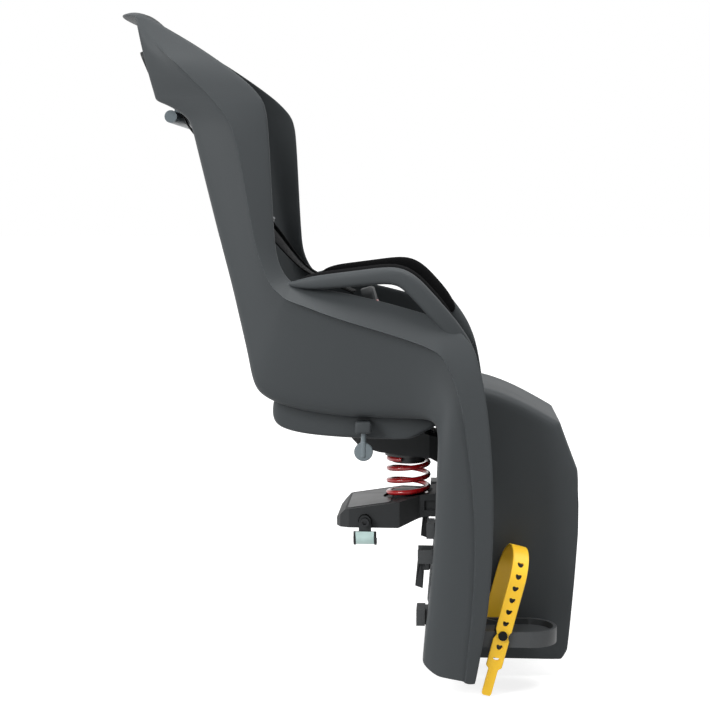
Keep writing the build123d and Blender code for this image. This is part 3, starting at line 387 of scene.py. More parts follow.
def new_piece(name, bm, body, slot, sharp, *replaced):
    """Smooth piece that stands for CAD nodes on a body; edges over an angle stay sharp."""
    piece = new_object(name, bm)
    piece.data.materials.append(MATERIALS[slot])
    piece.data.shade_smooth()
    piece.data.set_sharp_from_angle(angle=radians(sharp))
    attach(piece, body)
    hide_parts(*replaced)
    return piece


def subdivide(piece):
    """Live subdivision surface."""
    modifier = piece.modifiers.new("subdivision", "SUBSURF")
    modifier.levels = modifier.render_levels = 2


def bake(piece):
    """Puts the result of the piece's modifiers into its mesh."""
    bpy.context.view_layer.update()
    shown = piece.evaluated_get(bpy.context.evaluated_depsgraph_get())
    made = bpy.data.meshes.new_from_object(shown)
    made.name = piece.name
    piece.modifiers.clear()
    piece.data = made
    return piece


def cut_out(piece, cutter):
    """Takes the cutter's shape out of a piece and removes the cutter."""
    cut = piece.modifiers.new("cut", "BOOLEAN")
    cut.operation = "DIFFERENCE"
    cut.solver = "EXACT"
    cut.object = cutter
    bake(piece)
    bpy.data.objects.remove(cutter)


def gather(parts):
    """One bmesh of several temporary objects, which are removed."""
    bm = bmesh.new()
    for part in parts:
        bm.from_mesh(part.data)
        bpy.data.objects.remove(part)
    return bm


def edges_of(verts):
    return list({edge for vert in verts for edge in vert.link_edges})


def round_edges(bm, edges, offset, segments):
    bmesh.ops.bevel(bm, geom=edges, offset=offset * MM, offset_type="OFFSET", segments=segments,
                    profile=0.5, affect="EDGES", material=-1)


def add_box(bm, centre, size):
    """Box of a size in millimetres round a point in metres; returns its vertices."""
    stretch = Matrix.Diagonal((*(Vector(size) * MM), 1))
    return bmesh.ops.create_cube(bm, size=1.0, matrix=Matrix.Translation(centre) @ stretch)["verts"]


def outwards(bm):
    """Turns all faces to point outwards."""
    bmesh.ops.recalc_face_normals(bm, faces=bm.faces)


def extrude_loop(bm, verts, edges, points):
    """Extrudes a line of edges and sets the new vertices on the given points."""
    made = bmesh.ops.extrude_edge_only(bm, edges=edges)["geom"]
    fresh = {item for item in made if isinstance(item, bmesh.types.BMVert)}
    moved = []
    for vert, point in zip(verts, points):
        ends = (edge.other_vert(vert) for edge in vert.link_edges)
        twin = next(end for end in ends if end in fresh)
        twin.co = point
        moved.append(twin)
    lines = [item for item in made if isinstance(item, bmesh.types.BMEdge)
             and all(vert in fresh for vert in item.verts)]
    return moved, lines


def skin_loops(bm, loops, closed=False):
    """Skin through loops of points, each extruded from the last; returns their vertices."""
    verts = [bm.verts.new(point) for point in loops[0]]
    ends = verts + verts[:1] if closed else verts
    edges = [bm.edges.new(pair) for pair in zip(ends, ends[1:])]
    rows = [verts]
    for points in loops[1:]:
        verts, edges = extrude_loop(bm, verts, edges, points)
        rows.append(verts)
    return rows


def add_tube(bm, loops):
    """Skin through closed loops, with a face at both ends."""
    rows = skin_loops(bm, loops, closed=True)
    bm.faces.new(rows[0])
    bm.faces.new(list(reversed(rows[-1])))
    return rows


def crease(bm, row, weight):
    """Sets the crease of the edges along a line of vertices."""
    layers = bm.edges.layers.float
    layer = layers.get("crease_edge") or layers.new("crease_edge")
    for first, second in zip(row, row[1:]):
        edge = bm.edges.get((first, second))
        if edge:
            edge[layer] = weight


def mirror_y(bm):
    """Adds the mirror image about the middle plane and joins the seam."""
    geom = bm.verts[:] + bm.edges[:] + bm.faces[:]
    bmesh.ops.mirror(bm, geom=geom, matrix=Matrix.Identity(4), merge_dist=0.02 * MM, axis="Y")


def between(line, x):
    """Height of a line of points at a place along it."""
    for (x0, z0), (x1, z1) in zip(line, line[1:]):
        if x <= x1:
            return z0 + (z1 - z0) * (x - x0) / (x1 - x0)
    return line[-1][1]


def held(value):
    """Share held between none and all."""
    return min(max(value, 0.0), 1.0)


# Shell

def rear_x(z):
    """Rear skin of the back at a height, with the hood standing out above its step."""
    share = held((z - STEP_TOP + STEP_HEIGHT) / STEP_HEIGHT)
    return BACK_FOOT_X - (z - BACK_FOOT_Z) * RAKE - HOOD_DEPTH * share ** 2


def back(drop, rim_x, *form):
    """Level station of the back, a drop below the crown."""
    z = HEAD_TOP - drop
    return ((rear_x(z), z), (rim_x, z), *form, 0)


def seat(base_x, base_rise, rim_x, rim_rise, *form):
    """Station of the bucket, with its heights above the seat's underside."""
    return ((base_x, SEAT_UNDER + base_rise), (rim_x, SEAT_UNDER + rim_rise), *form)


def guard(rise, base_back, rim_forward, share):
    """Station of the leg guards, a rise above their feet."""
    z = GUARD_FOOT + rise
    return ((GUARD_BACK_X + base_back, z), (GUARD_BACK_X + GUARD_DEPTH + rim_forward, z + 4),
            share, 6, 0, 4, 5, 26, NOSE_HALF - 9)


# Stations from crown to foot: base and rim in the side view, share of the way up to the band's
# crease, set-ins of base, crease and rim from the guards' half width, overhang of the band,
# radius of the corner, and where the floor starts beside the middle plane
STATIONS = [
    back(2, -259, 0.12, 82, 81, 82, 0.6, 22),
    back(16, -245, 0.17, 79.5, 77, 78, 0.8, 22),
    back(46, -200, 0.34, 68.4, 56, 64, 2.5, 8),
    back(70, -164, 0.424, 65.9, 45, 52, 3, 10),
    back(90, -136.5, 0.469, 66.6, 40, 45, 3, 11),
    back(102, -123.5, 0.512, 69, 38.5, 43, 3, 12),
    back(110, -116.5, 0.545, 70.4, 37.3, 41.8, 3, 12),
    back(114, -113.6, 0.552, 70.7, 36.8, 41.2, 3, 12),
    back(117.5, -111.7, 0.536, 67.8, 36.4, 40.8, 3, 13),
    back(121, -110, 0.524, 65.2, 35.9, 40.5, 3, 14),
    back(128, -108, 0.513, 61.5, 35.2, 40.2, 3, 16),
    back(135.5, -106.7, 0.52, 58.9, 34.5, 40, 3, 18),
    back(143.5, -105.9, 0.545, 57.4, 33.9, 40, 3, 20),
    back(166, -104.3, 0.589, 54, 32.5, 40, 3, 21),
    back(207, -102.4, 0.62, 52, 32, 40, 3, 21),
    back(275, -99, 0.66, 50, 30, 40, 3, 22),
    seat(-151.5, 158, -96, 186, 0.71, 48, 27, 39, 4, 24, 0),
    seat(-142.5, 118, -87, 167, 0.745, 46, 23, 38, 6, 26, 0),
    seat(-132.2, 73, -79, 160, 0.825, 44.4, 19, 37.2, 7.6, 30, 0),
    seat(-129.8, 57, -77, 158, 0.845, 44, 18, 37, 8, 32, 0),
    seat(-125, 37, -73.2, 157.1, 0.855, 43.6, 17.3, 36.6, 8.4, 33, 0),
    seat(-116, 25, -67, 155.6, 0.86, 43, 16, 36, 9, 35, 0),
    seat(-88, 11.5, -56, 153, 0.857, 42, 14, 35, 10, 38, 0),
    seat(-32, 2, -24, 149, 0.80, 42, 12, 34, 10, 40, 0),
    seat(17, 0, 23, 139, 0.765, 42, 11, 32, 10, 40, 0),
    seat(55, 0, 69, 126, 0.735, 40, 9, 29, 10, 40, 0),
    seat(67, 0, 87, 120.5, 0.715, 36, 7.5, 26.5, 9.5, 39, 0),
    seat(78, 0, 103, 114, 0.69, 32, 6, 24, 9, 38, 86),
    seat(86, -2, 127.6, 94, 0.5355, 22, 4, 18, 8, 34, 86),
    seat(89, -8, 139, 60, 0.52, 14, 2, 12, 7, 30, 86),
    seat(90, -27, 148, 3, 0.55, 8, 1, 7, 6, 26, 86),
    guard(226, 0, 2, 0.633),
    guard(169, -1, 2.3, 0.696),
    guard(117, -5, 0.7, 0.722),
    guard(73, -9, -3.7, 0.747),
    guard(52, -12, -6.5, 0.759),
    guard(28, -14, -15.5, 0.80),
    guard(16, -14.7, -17.5, 0.81),
]
# Bulge of the side halfway up to the crease, share of a corner's radius kept up the side, drop and
# bevel of the rim
BELLY = Vector((2.5, -1))
CORNER_SHARE = 0.6
RIM_DROP = 2
RIM_BEVEL = 1.2
# Columns of a section with the band's crease and the rim, and how sharp the columns' folds are
KNEE, LIP_OUT = 7, 9
COLUMN_CREASES = {KNEE: 0.95, KNEE - 1: 0.5, LIP_OUT: 0.6, LIP_OUT + 1: 0.5, LIP_OUT + 2: 0.5}
END_CREASE = 0.75


def crown_height(y):
    """Height of the headrest's arched top edge and its round shoulders at a distance across."""
    y = abs(y)
    lean = asin(CROWN_HALF / CROWN_R)
    if y <= CROWN_HALF:
        return CROWN_TOP - CROWN_R + sqrt(CROWN_R ** 2 - y ** 2)
    arch_end = CROWN_TOP - CROWN_R + CROWN_R * cos(lean)
    low = lean + radians(SHOULDER_TURN)
    turn_y = CROWN_HALF + SHOULDER_R * (sin(low) - sin(lean))
    if y <= turn_y:
        angle = asin(sin(lean) + (y - CROWN_HALF) / SHOULDER_R)
        return arch_end - SHOULDER_R * (cos(lean) - cos(angle))
    return arch_end - SHOULDER_R * (cos(lean) - cos(low)) - (y - turn_y) * tan(low)


def section(base, rim, share, in_base, in_crease, in_rim, overhang, corner, middle):
    """Points of one half section: outer skin from the middle up, rim, and inner skin back down."""
    foot = Vector(base)
    rise = Vector(rim) - foot
    height = rise.length
    knee_z = share * height
    w_base, w_knee, w_rim = (GUARD_HALF - inset for inset in (in_base, in_crease, in_rim))
    turn = min(corner, CORNER_SHARE * knee_z + 2)
    inner_turn = min(turn - 2, 0.5 * (height - WALL))
    floor_y = (middle + w_base - turn) / 2
    heel = Vector((w_base, 0))
    under = Vector((w_knee - overhang, knee_z))
    belly = (heel + under) * 0.5 + BELLY
    up = (belly - heel).normalized()
    lip = Vector((w_rim, height - RIM_DROP))
    knee = Vector((w_knee, knee_z))
    outer = [Vector((middle, 0)), Vector((floor_y, 0)), Vector((w_base - turn, 0)), heel,
             heel + up * CORNER_SHARE * turn, belly, under, knee, (knee + lip) / 2, lip]
    tips = [Vector((w_rim - RIM_BEVEL, height)), Vector((w_rim - RIM + RIM_BEVEL, height))]
    inside = Vector((w_base - WALL, WALL))
    inner_belly = Vector((w_knee - overhang - WALL, max(knee_z, 0.5 * (height + WALL))))
    inner_up = (inner_belly - inside).normalized()
    low = inside + inner_up * CORNER_SHARE * inner_turn
    lip_in = Vector((w_rim - RIM, height - RIM_DROP))
    inner = [lip_in, (lip_in + inner_belly) / 2, inner_belly, inner_belly.lerp(low, 0.33),
             inner_belly.lerp(low, 0.66), low, inside, inside - Vector((inner_turn, 0)),
             Vector((floor_y, WALL)), Vector((middle, WALL))]
    up_side = rise / height
    return [Vector((foot.x + up_side.x * point.y, -point.x, foot.y + up_side.y * point.y))
            for point in outer + tips + inner]


# Lower edge of the leg guards in the side view, from the channel's back wall to the front rim
GUARD_EDGE = [(60, -104), (70, -120), (73.5, -131), (79, -139), (89, -143.5), (105, -146.5),
              (121, -148.5), (123.5, -152), (150, -153)]
# How far the first sections keep below the crown, and the last ones above the guards' edge
CROWN_GAPS = {0: 0.0, 1: 5.0, 2: 12.0}
EDGE_GAPS = {-2: 7.0, -1: 0.0}


def shell_loops():
    """All sections, lowered to the crown at the top and set on the guards' edge."""
    loops = [section(*station) for station in STATIONS]
    for row, gap in CROWN_GAPS.items():
        for point in loops[row]:
            lowered = min(point.z, crown_height(point.y) - gap)
            point.x += (point.z - lowered) * RAKE
            point.z = lowered
    for row, gap in EDGE_GAPS.items():
        for point in loops[row]:
            point.z = between(GUARD_EDGE, point.x) + gap
    return [[point * MM for point in loop] for loop in loops]


def close_ends(bm, row):
    """Strip of faces that closes the wall at an end section."""
    last = len(row) - 1
    for step in range(last // 2):
        bm.faces.new((row[step], row[step + 1], row[last - step - 1], row[last - step]))


def add_bucket(bm):
    """Back, bucket and leg guards: the right half through all sections."""
    rows = skin_loops(bm, shell_loops())
    for row in (rows[0], rows[-1]):
        close_ends(bm, row)
    first_guard = next(n for n, station in enumerate(STATIONS) if station[-1])
    for upper, lower in zip(rows[first_guard - 1:], rows[first_guard:]):
        bm.faces.new((upper[0], lower[0], lower[-1], upper[-1]))
    for column, weight in COLUMN_CREASES.items():
        crease(bm, [row[column] for row in rows[2:]], weight)
    for row in (rows[0], rows[-1]):
        crease(bm, row, END_CREASE)


# Side outline of the nose: points of its top and front, and its side wall's start behind each
NOSE_ROWS = [
    ((48, 143), (48, 141)), ((72, 156), (70, 141)), ((98, 170), (84, 138)), ((124, 181), (89, 118)),
    ((150, 176.5), (90, 95)), ((185, 163.5), (89, 70)), ((222, 143), (88, 42)),
    ((234, 136), (88, 34)), ((239, 122), (88, 26)), ((247, 101), (87, 12)), ((255.5, 79), (86, -2)),
    ((257, 60), (85.5, -12)), ((257, 40), (85, -24)), ((257, 5), (84, -48)),
    ((253.5, -50), (80, -85)), ((249, -105), (76, -118)), ((246, -138), (76, -138)),
    ((239, -150), (76, -150)),
]
# Rows at which the nose's outline turns, with the sharpness of the fold
NOSE_FOLDS = {7: 0.65, 10: 0.65}
# Places across the nose's top, and the columns of its front, which is open below the mouth
NOSE_ACROSS = (NOSE_ROUND - NOSE_HALF, -40, 0)
FRONT_COLUMNS = (4, 5, 6)


def add_nose(bm):
    """Saddle between the legs with the inner walls of both leg channels, as a skin."""
    loops = []
    side = Vector((0, -NOSE_HALF, 0))
    for top, root in NOSE_ROWS:
        tip = Vector((top[0], 0, top[1]))
        heel = Vector((root[0], 0, root[1]))
        edge = tip + (heel - tip).normalized() * min(NOSE_ROUND, 0.5 * (heel - tip).length)
        wall = [heel, heel.lerp(edge, 0.35), heel.lerp(edge, 0.7), edge, tip]
        loop = [point + side for point in wall] + [tip + Vector((0, y, 0)) for y in NOSE_ACROSS]
        loops.append([point * MM for point in loop])
    rows = skin_loops(bm, loops)
    for number, weight in NOSE_FOLDS.items():
        crease(bm, rows[number], weight)
    mouth = next(n for n, (top, root) in enumerate(NOSE_ROWS) if top[1] <= MOUTH_Z)
    open_front = []
    for upper, lower in zip(rows[mouth:], rows[mouth + 1:]):
        for column in FRONT_COLUMNS:
            corners = {upper[column], upper[column + 1], lower[column], lower[column + 1]}
            open_front += [face for face in upper[column].link_faces if set(face.verts) == corners]
    bmesh.ops.delete(bm, geom=open_front, context="FACES")


# Right armrest: middle line, half height and half width
ARMREST = [
    ((-86, -153.5, 302), 1.5, 2.0), ((-72, -156.5, 302.5), 4.6, 4.8), ((-56, -160, 304), 7.8, 7.6),
    ((-32, -163, 306.5), 8.7, 9.2), ((-4, -166, 309.5), 9.1, 10), ((24, -169, 313), 9.6, 10.4),
    ((43, -170.5, 313.2), 10.6, 10.4), ((57, -171, 306), 11.0, 10.4),
    ((73, -170.5, 289), 11.0, 10.2), ((91, -168.5, 269), 10.8, 9.6), ((107, -164, 250), 10.4, 8.4),
    ((121, -159.5, 231), 8.8, 6.5), ((133, -156, 207), 5.0, 3.6),
]
# Share of the half size that is cut off the corners of an armrest and of its pad
ARMREST_CUT = 0.42
PAD_CUT = 0.5


def bar_loops(line, cut):
    """Bevelled sections across a middle line that lies nearly upright along the seat's side."""
    flat = 1 - cut
    shape = [(1, flat), (flat, 1), (-flat, 1), (-1, flat), (-1, -flat), (-flat, -1), (flat, -1),
             (1, -flat)]
    centres = [Vector(centre) for centre, high, wide in line]
    loops = []
    for number, (centre, high, wide) in enumerate(line):
        before = centres[max(number - 1, 0)]
        after = centres[min(number + 1, len(centres) - 1)]
        along = (after - before).normalized()
        out = Vector((0, -1, 0))
        out = (out - along * out.dot(along)).normalized()
        up = out.cross(along)
        loops.append([(centres[number] + out * (wide * a) + up * (high * b)) * MM
                      for a, b in shape])
    return loops


def add_armrest(bm):
    add_tube(bm, bar_loops(ARMREST, ARMREST_CUT))


# Profile of the rolled lip behind the crown, as reach and rise
LIP_PROFILE = [(0, 0.6), (-8, 2.6), (-16, 4), (-26, 3.5), (-LIP_REACH - 3, 1),
               (-LIP_REACH - 3.4, -1), (-LIP_REACH - 1, -3), (-22, -7.5), (-13, -11),
               (-6, -14), (0, -16)]
LIP_STEPS = 8


def add_lip(bm):
    """Rolled lip behind the crown, following its arch and drawn in towards both ends."""
    root = rear_x(HEAD_TOP) + 4
    half = asin(LIP_HALF / CROWN_R)
    loops = []
    for step in range(2 * LIP_STEPS + 1):
        share = step / LIP_STEPS - 1
        bow = LIP_PLAN_R - sqrt(LIP_PLAN_R ** 2 - (LIP_HALF * share) ** 2)
        keep = max(0.08, 1 - bow / (LIP_REACH + 1.2))
        angle = half * share
        loop = []
        for reach, rise in LIP_PROFILE:
            radius = CROWN_R - 5 + (rise + 5) * (0.3 + 0.7 * keep)
            loop.append(place(root + reach * keep, radius * sin(angle),
                              CROWN_TOP - CROWN_R + radius * cos(angle)))
        loops.append(loop)
    add_tube(bm, loops)


# Slots for the shoulder straps through the back, and for the footrests through the channels
SLOT_Z = HEAD_TOP - 161
SLOT_Y = 50
SLOT_ROWS, SLOT_PITCH = 3, 45
SLOT_SIZE, SLOT_ROUND = (40, 34, 11.8), 5
FOOT_SLOT_X, FOOT_SLOT_Z = GUARD_BACK_X - 8, -13
FOOT_SLOT_SIZE, FOOT_SLOT_ROUND = (56, 22, 206), 4


def slot_cutters():
    """Bars that leave the shell's slots, with their long edges rounded."""
    bm = bmesh.new()
    heights = [SLOT_Z - SLOT_PITCH * row for row in range(SLOT_ROWS)]
    spots = [((rear_x(z), SLOT_Y, z), SLOT_SIZE, SLOT_ROUND) for z in heights]
    spots.append(((FOOT_SLOT_X, FOOT_Y, FOOT_SLOT_Z), FOOT_SLOT_SIZE, FOOT_SLOT_ROUND))
    for side, word in SIDES:
        for (x, y, z), size, rounding in spots:
            edges = edges_of(add_box(bm, place(x, side * y, z), size))
            long_ones = [edge for edge in edges
                         if abs((edge.verts[0].co - edge.verts[1].co).normalized().x) > 0.9]
            round_edges(bm, long_ones, rounding, 4)
    return new_object("slot_cutters", bm)


def draw(name, fill, mirrored=False):
    """Temporary object of what a function fills in."""
    bm = bmesh.new()
    fill(bm)
    if mirrored:
        mirror_y(bm)
    outwards(bm)
    return new_object(name, bm)


def part_mesh(name, fill, thick=0.0, mirrored=True):
    """Temporary object, smoothed and baked."""
    part = draw(name, fill, mirrored)
    if thick:
        wall = part.modifiers.new("wall", "SOLIDIFY")
        wall.thickness = thick
        wall.use_even_offset = True
        wall.edge_crease_rim = 0.6
    subdivide(part)
    return bake(part)


def build_shell():
    """The one moulding: bucket with its slots, nose, armrests and lip, joined in one mesh."""
    bucket = part_mesh("bucket", add_bucket)
    cut_out(bucket, slot_cutters())
    bm = gather([bucket, part_mesh("nose", add_nose, thick=WALL * MM),
                 part_mesh("armrests", add_armrest), part_mesh("lip", add_lip, mirrored=False)])
    new_piece("shell", bm, "seat", "shell_plastic", 42, "seat_shell")


build_shell()

# Spring: middle, radii of wire and coil, heights of the wire's ends, turns, steps in a turn, and
# share of the rise in the flat half turns at both ends
SPRING_X = 51
WIRE_R, COIL_R = 3.15, 24.85
SPRING_LOW, SPRING_HIGH = 30.75, 79.25
TURNS, TURN_STEPS = 3.7, 40
FLAT_RISE = 0.15


def build_spring():
    """Round wire wound between the two seats, with a flat half turn at each end."""
    bm = bmesh.new()
    lay = Matrix.Translation(place(SPRING_X + COIL_R, 0, SPRING_LOW)) @ UPRIGHT
    ring = bmesh.ops.create_circle(bm, segments=14, radius=WIRE_R * MM, matrix=lay)["verts"]
    ends = [list(ring)]
    geom = list(ring) + edges_of(ring)
    for part, rise in ((0.5, FLAT_RISE / 2), (TURNS - 1, 1 - FLAT_RISE), (0.5, FLAT_RISE / 2)):
        count = round(part * TURN_STEPS)
        climb = Vector((0, 0, (SPRING_HIGH - SPRING_LOW) * rise / count)) * MM
        made = bmesh.ops.spin(bm, geom=geom, cent=place(SPRING_X, 0, 0), axis=(0, 0, 1), dvec=climb,
                              angle=2 * pi * part, steps=count, use_duplicate=False)["geom_last"]
        geom = [item for item in made if not isinstance(item, bmesh.types.BMFace)]
        ends.append([item for item in made if isinstance(item, bmesh.types.BMVert)])
    for rim in (ends[0], ends[-1]):
        open_edges = [edge for edge in edges_of(rim) if len(edge.link_faces) == 1]
        bmesh.ops.contextual_create(bm, geom=open_edges)
    outwards(bm)
    spring = new_piece("coil_spring", bm, "bracket", "spring_red", 50, "spring")
    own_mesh(spring)


build_spring()

# Harness
WEB_WIDTH, WEB_THICK, WEB_NICK = 25.0, 1.8, 0.35
WEB_TWIST = 38.0
BUCKLE_X = 6.0
WEB_DRAWN_IN = 37
# Shoulder strap in its upright plane: distance from its slot, and height above the slot
WEB_ROUTE = [(-26.8, 34.5), (-24.6, 29), (-22, 23), (-15, 13.5), (-8, 5.5), (4, -2.5), (14, -9),
             (32, -42), (50, -75), (82, -111), (116, -149), (150, -168), (178, 286 - SLOT_Z)]
# Slider from its upper to its lower edge and back through its inside: place along the strap, half
# width and half thickness
SLIDER_RINGS = [(-6.5, 15.9, 3.0), (-5.6, 16.5, 3.6), (3.2, 16.5, 3.6), (4.2, 16.5, 4.4),
                (5.8, 16.5, 4.4), (6.5, 15.9, 3.6), (6.5, 13.2, 1.4), (-6.5, 13.2, 1.4),
                (-6.5, 15.9, 3.0)]


def smooth_line(points, steps):
    """Catmull-Rom line through points."""
    points = [Vector(point) for point in points]
    ends = [2 * points[0] - points[1]] + points + [2 * points[-1] - points[-2]]
    line = []
    for a, b, c, d in zip(ends, ends[1:], ends[2:], ends[3:]):
        for step in range(steps):
            t = step / steps
            line.append(0.5 * (2 * b + (c - a) * t + (2 * a - 5 * b + 4 * c - d) * t * t
                               + (3 * b - a - 3 * c + d) * t ** 3))
    return line + [points[-1]]


def web_frame(line, number, across, twist):
    """Directions along, across and out of a twisted strap at one of its points."""
    along = (line[min(number + 1, len(line) - 1)] - line[max(number - 1, 0)]).normalized()
    side = (across - along * across.dot(along)).normalized()
    share = held(1.4 * number / (len(line) - 1) - 0.35)
    side.rotate(Quaternion(along, radians(twist) * sin(pi * share) ** 2))
    return along, side, side.cross(along)


def build_webbing(name, line, across, replaced, twist=0.0):
    """Flat strap with its own UV map: u across, v along the length in metres."""
    half, rise, nick = WEB_WIDTH / 2, WEB_THICK / 2, WEB_NICK * WEB_THICK
    x, y = half - nick, rise - nick
    shape = [(-half, -y), (-x, -rise), (0, -rise), (x, -rise), (half, -y), (half, y), (x, rise),
             (0, rise), (-x, rise), (-half, y)]
    loops, run = [], [0.0]
    for number, point in enumerate(line):
        along, side, up = web_frame(line, number, across, twist)
        loops.append([(point + side * a + up * b) * MM for a, b in shape])
        if number:
            run.append(run[-1] + (point - line[number - 1]).length)
    bm = bmesh.new()
    rows = add_tube(bm, loops)
    spot = {vert: (a / WEB_WIDTH + 0.5, length * MM)
            for row, length in zip(rows, run) for vert, (a, b) in zip(row, shape)}
    layer = bm.loops.layers.uv.new("UVMap")
    for face in bm.faces:
        for corner in face.loops:
            corner[layer].uv = spot[corner.vert]
    outwards(bm)
    new_piece(name, bm, "seat", "webbing", 60, replaced)


def build_adjuster(word, line, across, twist):
    """Slider round a shoulder strap, turned with it, with a raised grip along its lower edge."""
    low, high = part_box("strap_adjuster_" + word)
    centre = (Vector(low) + Vector(high)) / (2 * MM)
    number = min(range(len(line)), key=lambda step: (line[step] - centre).length)
    along, side, up = web_frame(line, number, across, twist)
    rings = []
    for reach, half, rise in SLIDER_RINGS:
        turn = min(1.4, 0.5 * rise)
        x, y = half - turn, rise - turn
        shape = [(half, -y), (half, y), (x, rise), (-x, rise), (-half, y), (-half, -y), (-x, -rise),
                 (x, -rise)]
        rings.append([(line[number] + along * reach + side * a + up * b) * MM for a, b in shape])
    bm = bmesh.new()
    skin_loops(bm, rings, closed=True)
    bmesh.ops.remove_doubles(bm, verts=bm.verts, dist=0.01 * MM)
    outwards(bm)
    new_piece("web_slider_" + word, bm, "seat", "adjuster_grey", 30, "strap_adjuster_" + word)


def build_harness():
    """Both shoulder straps with their sliders, and the crotch strap."""
    for side, word in SIDES:
        start = Vector((rear_x(SLOT_Z), side * SLOT_Y, 0))
        run = Vector((BUCKLE_X - rear_x(SLOT_Z), -side * WEB_DRAWN_IN, 0)).normalized()
        across = Vector((0, 0, 1)).cross(run)
        line = smooth_line([start + run * along + Vector((0, 0, SLOT_Z + rise))
                            for along, rise in WEB_ROUTE], 6)
        twist = -WEB_TWIST * side
        build_webbing("shoulder_web_" + word, line, across, "shoulder_strap_" + word, twist)
        build_adjuster(word, line, across, twist)
    low, high = (Vector(corner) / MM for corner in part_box("crotch_strap"))
    top_x, foot_x = low.x + WEB_THICK / 2, high.x - WEB_THICK / 2
    route = [(top_x, high.z), (top_x + 9, high.z - 22), (top_x + 17.5, high.z - 45),
             (foot_x - 9, low.z + 24), (foot_x, low.z + 0.3)]
    line = smooth_line([(x, 0, z) for x, z in route], 8)
    build_webbing("crotch_web", line, Vector((0, 1, 0)), "crotch_strap")


build_harness()

# Tray under the bucket, with the lug of the thumb screw: outline in the side view, its middle, and
# the rows across its right half with their draw towards the middle and the lift of their upper edge
TRAY_OUTLINE = [(-104, 170), (-106, 158), (-106.5, 146), (-103, 137), (-94, 131), (-76, 126),
                (-52, 122.5), (-12, 119.5), (24, 119), (54, 119), (63, 121), (72, 127), (90, 136),
                (93, 144.6), (40, 144.4), (0, 144.4), (-32, 145.5), (-62, 150.5), (-84, 155)]
TRAY_MIDDLE = Vector((-17, 140))
TRAY_ROWS = [(-129.6, 9, 7), (-128, 4.5, 7), (-124, 1.4, 5), (-116, 0, 2.5), (-100, 0, 0),
             (-50, 0, 0)]
TRAY_UPPER_Z, TRAY_REAR_X, TRAY_FRONT_X = 144, -100, 90
LUG_SPOT, LUG_SIZE, LUG_ROUND = (3, -135, 136), (19, 26, 14), 3


def add_tray_body(bm):
    """Tray through its rows, drawn in towards both sides."""
    loops = []
    for y, inset, lift in TRAY_ROWS + [(-y, inset, lift) for y, inset, lift in reversed(TRAY_ROWS)]:
        loop = []
        for x, z in TRAY_OUTLINE:
            towards = (TRAY_MIDDLE - Vector((x, z))).normalized() * inset
            if z > TRAY_UPPER_Z and TRAY_REAR_X < x < TRAY_FRONT_X:
                towards = Vector((0, lift))
            loop.append(place(x + towards.x, y, z + towards.y))
        loops.append(loop)
    add_tube(bm, loops)


def build_tray():
    """Smooth tray and the lug on its right."""
    bm = gather([part_mesh("tray_body", add_tray_body, mirrored=False)])
    round_edges(bm, edges_of(add_box(bm, place(*LUG_SPOT), LUG_SIZE)), LUG_ROUND, 3)
    new_piece("tray", bm, "seat", "shell_plastic", 40, "base_tray")


build_tray()

# Thumb screw: round spade with the stem standing proud of both faces
SPADE_THICK, SPADE_ROUND = 4.5, 1.1
STEM_R, HUB_R = 3.0, 3.75


def build_thumb():
    """Spade, and the stem as a thick hub over it and a thinner neck above."""
    low, high = (Vector(corner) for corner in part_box("thumb_screw"))
    middle = (low + high) / 2
    radius = (high.x - low.x) / 2
    bm = bmesh.new()
    face = Matrix.Translation((middle.x, middle.y, low.z + radius)) @ UPRIGHT
    disc = bmesh.ops.create_cone(bm, cap_ends=True, segments=56, radius1=radius, radius2=radius,
                                 depth=SPADE_THICK * MM, matrix=face)["verts"]
    rim = [edge for edge in edges_of(disc) if edge.calc_face_angle() > 1.0]
    round_edges(bm, rim, SPADE_ROUND, 3)
    for size, bottom, top in ((HUB_R * MM, low.z + 0.6 * radius, low.z + 2.05 * radius),
                              (STEM_R * MM, low.z + 1.9 * radius, high.z)):
        spot = Matrix.Translation((middle.x, middle.y, (top + bottom) / 2))
        bmesh.ops.create_cone(bm, cap_ends=True, segments=28, radius1=size, radius2=size,
                              depth=top - bottom, matrix=spot)
        spot = Matrix.Translation((middle.x, middle.y, bottom))
        bmesh.ops.create_uvsphere(bm, u_segments=28, v_segments=14, radius=size, matrix=spot)
    new_piece("thumb_spade", bm, "thumb", "thumb_grey", 40, "thumb_screw")


build_thumb()

# Foot straps: an arch over the foot with a row of button holes and a narrow tail. Heights are
# measured along the strap from the footrest's top
STRAP_X, STRAP_TURN, STRAP_TILT = 160.0, 9.0, 15.0
STRAP_ARCH, STRAP_RISE, STRAP_ROOT, STRAP_END = FOOT_HALF + 4.0, 59.0, -12.0, -75.0
STRAP_HALF, TAIL_HALF, NECK_HALF, HALF_THICK = 9.5, 5.8, 6.9, 1.2
NECK_REACH, TAIL_Z, TAIL_BLEND, TIP_REACH = 5.5, -40.0, 4.0, 3.0
RUN_STEP, ARCH_STEPS = 1.25, 40
BAND_SHAPE = [(-1, -0.5), (-0.94, -1), (0.94, -1), (1, -0.5), (1, 0.5), (0.94, 1), (-0.94, 1),
              (-1, 0.5)]
HOLE_STEP, STUD_Z = 14.0, -3.0
HOLE_ROWS, SMALL_ROW = range(-2, 7), -2
HOLE_DEPTH = 4
HOLE = [(-3.5, 2.5), (-1.7, 2.9), (0, 2.1), (1.7, 2.9), (3.5, 2.5), (3.8, 0.9), (3.0, -1.3),
        (1.6, -2.8), (0, -3.3), (-1.6, -2.8), (-3.0, -1.3), (-3.8, 0.9)]


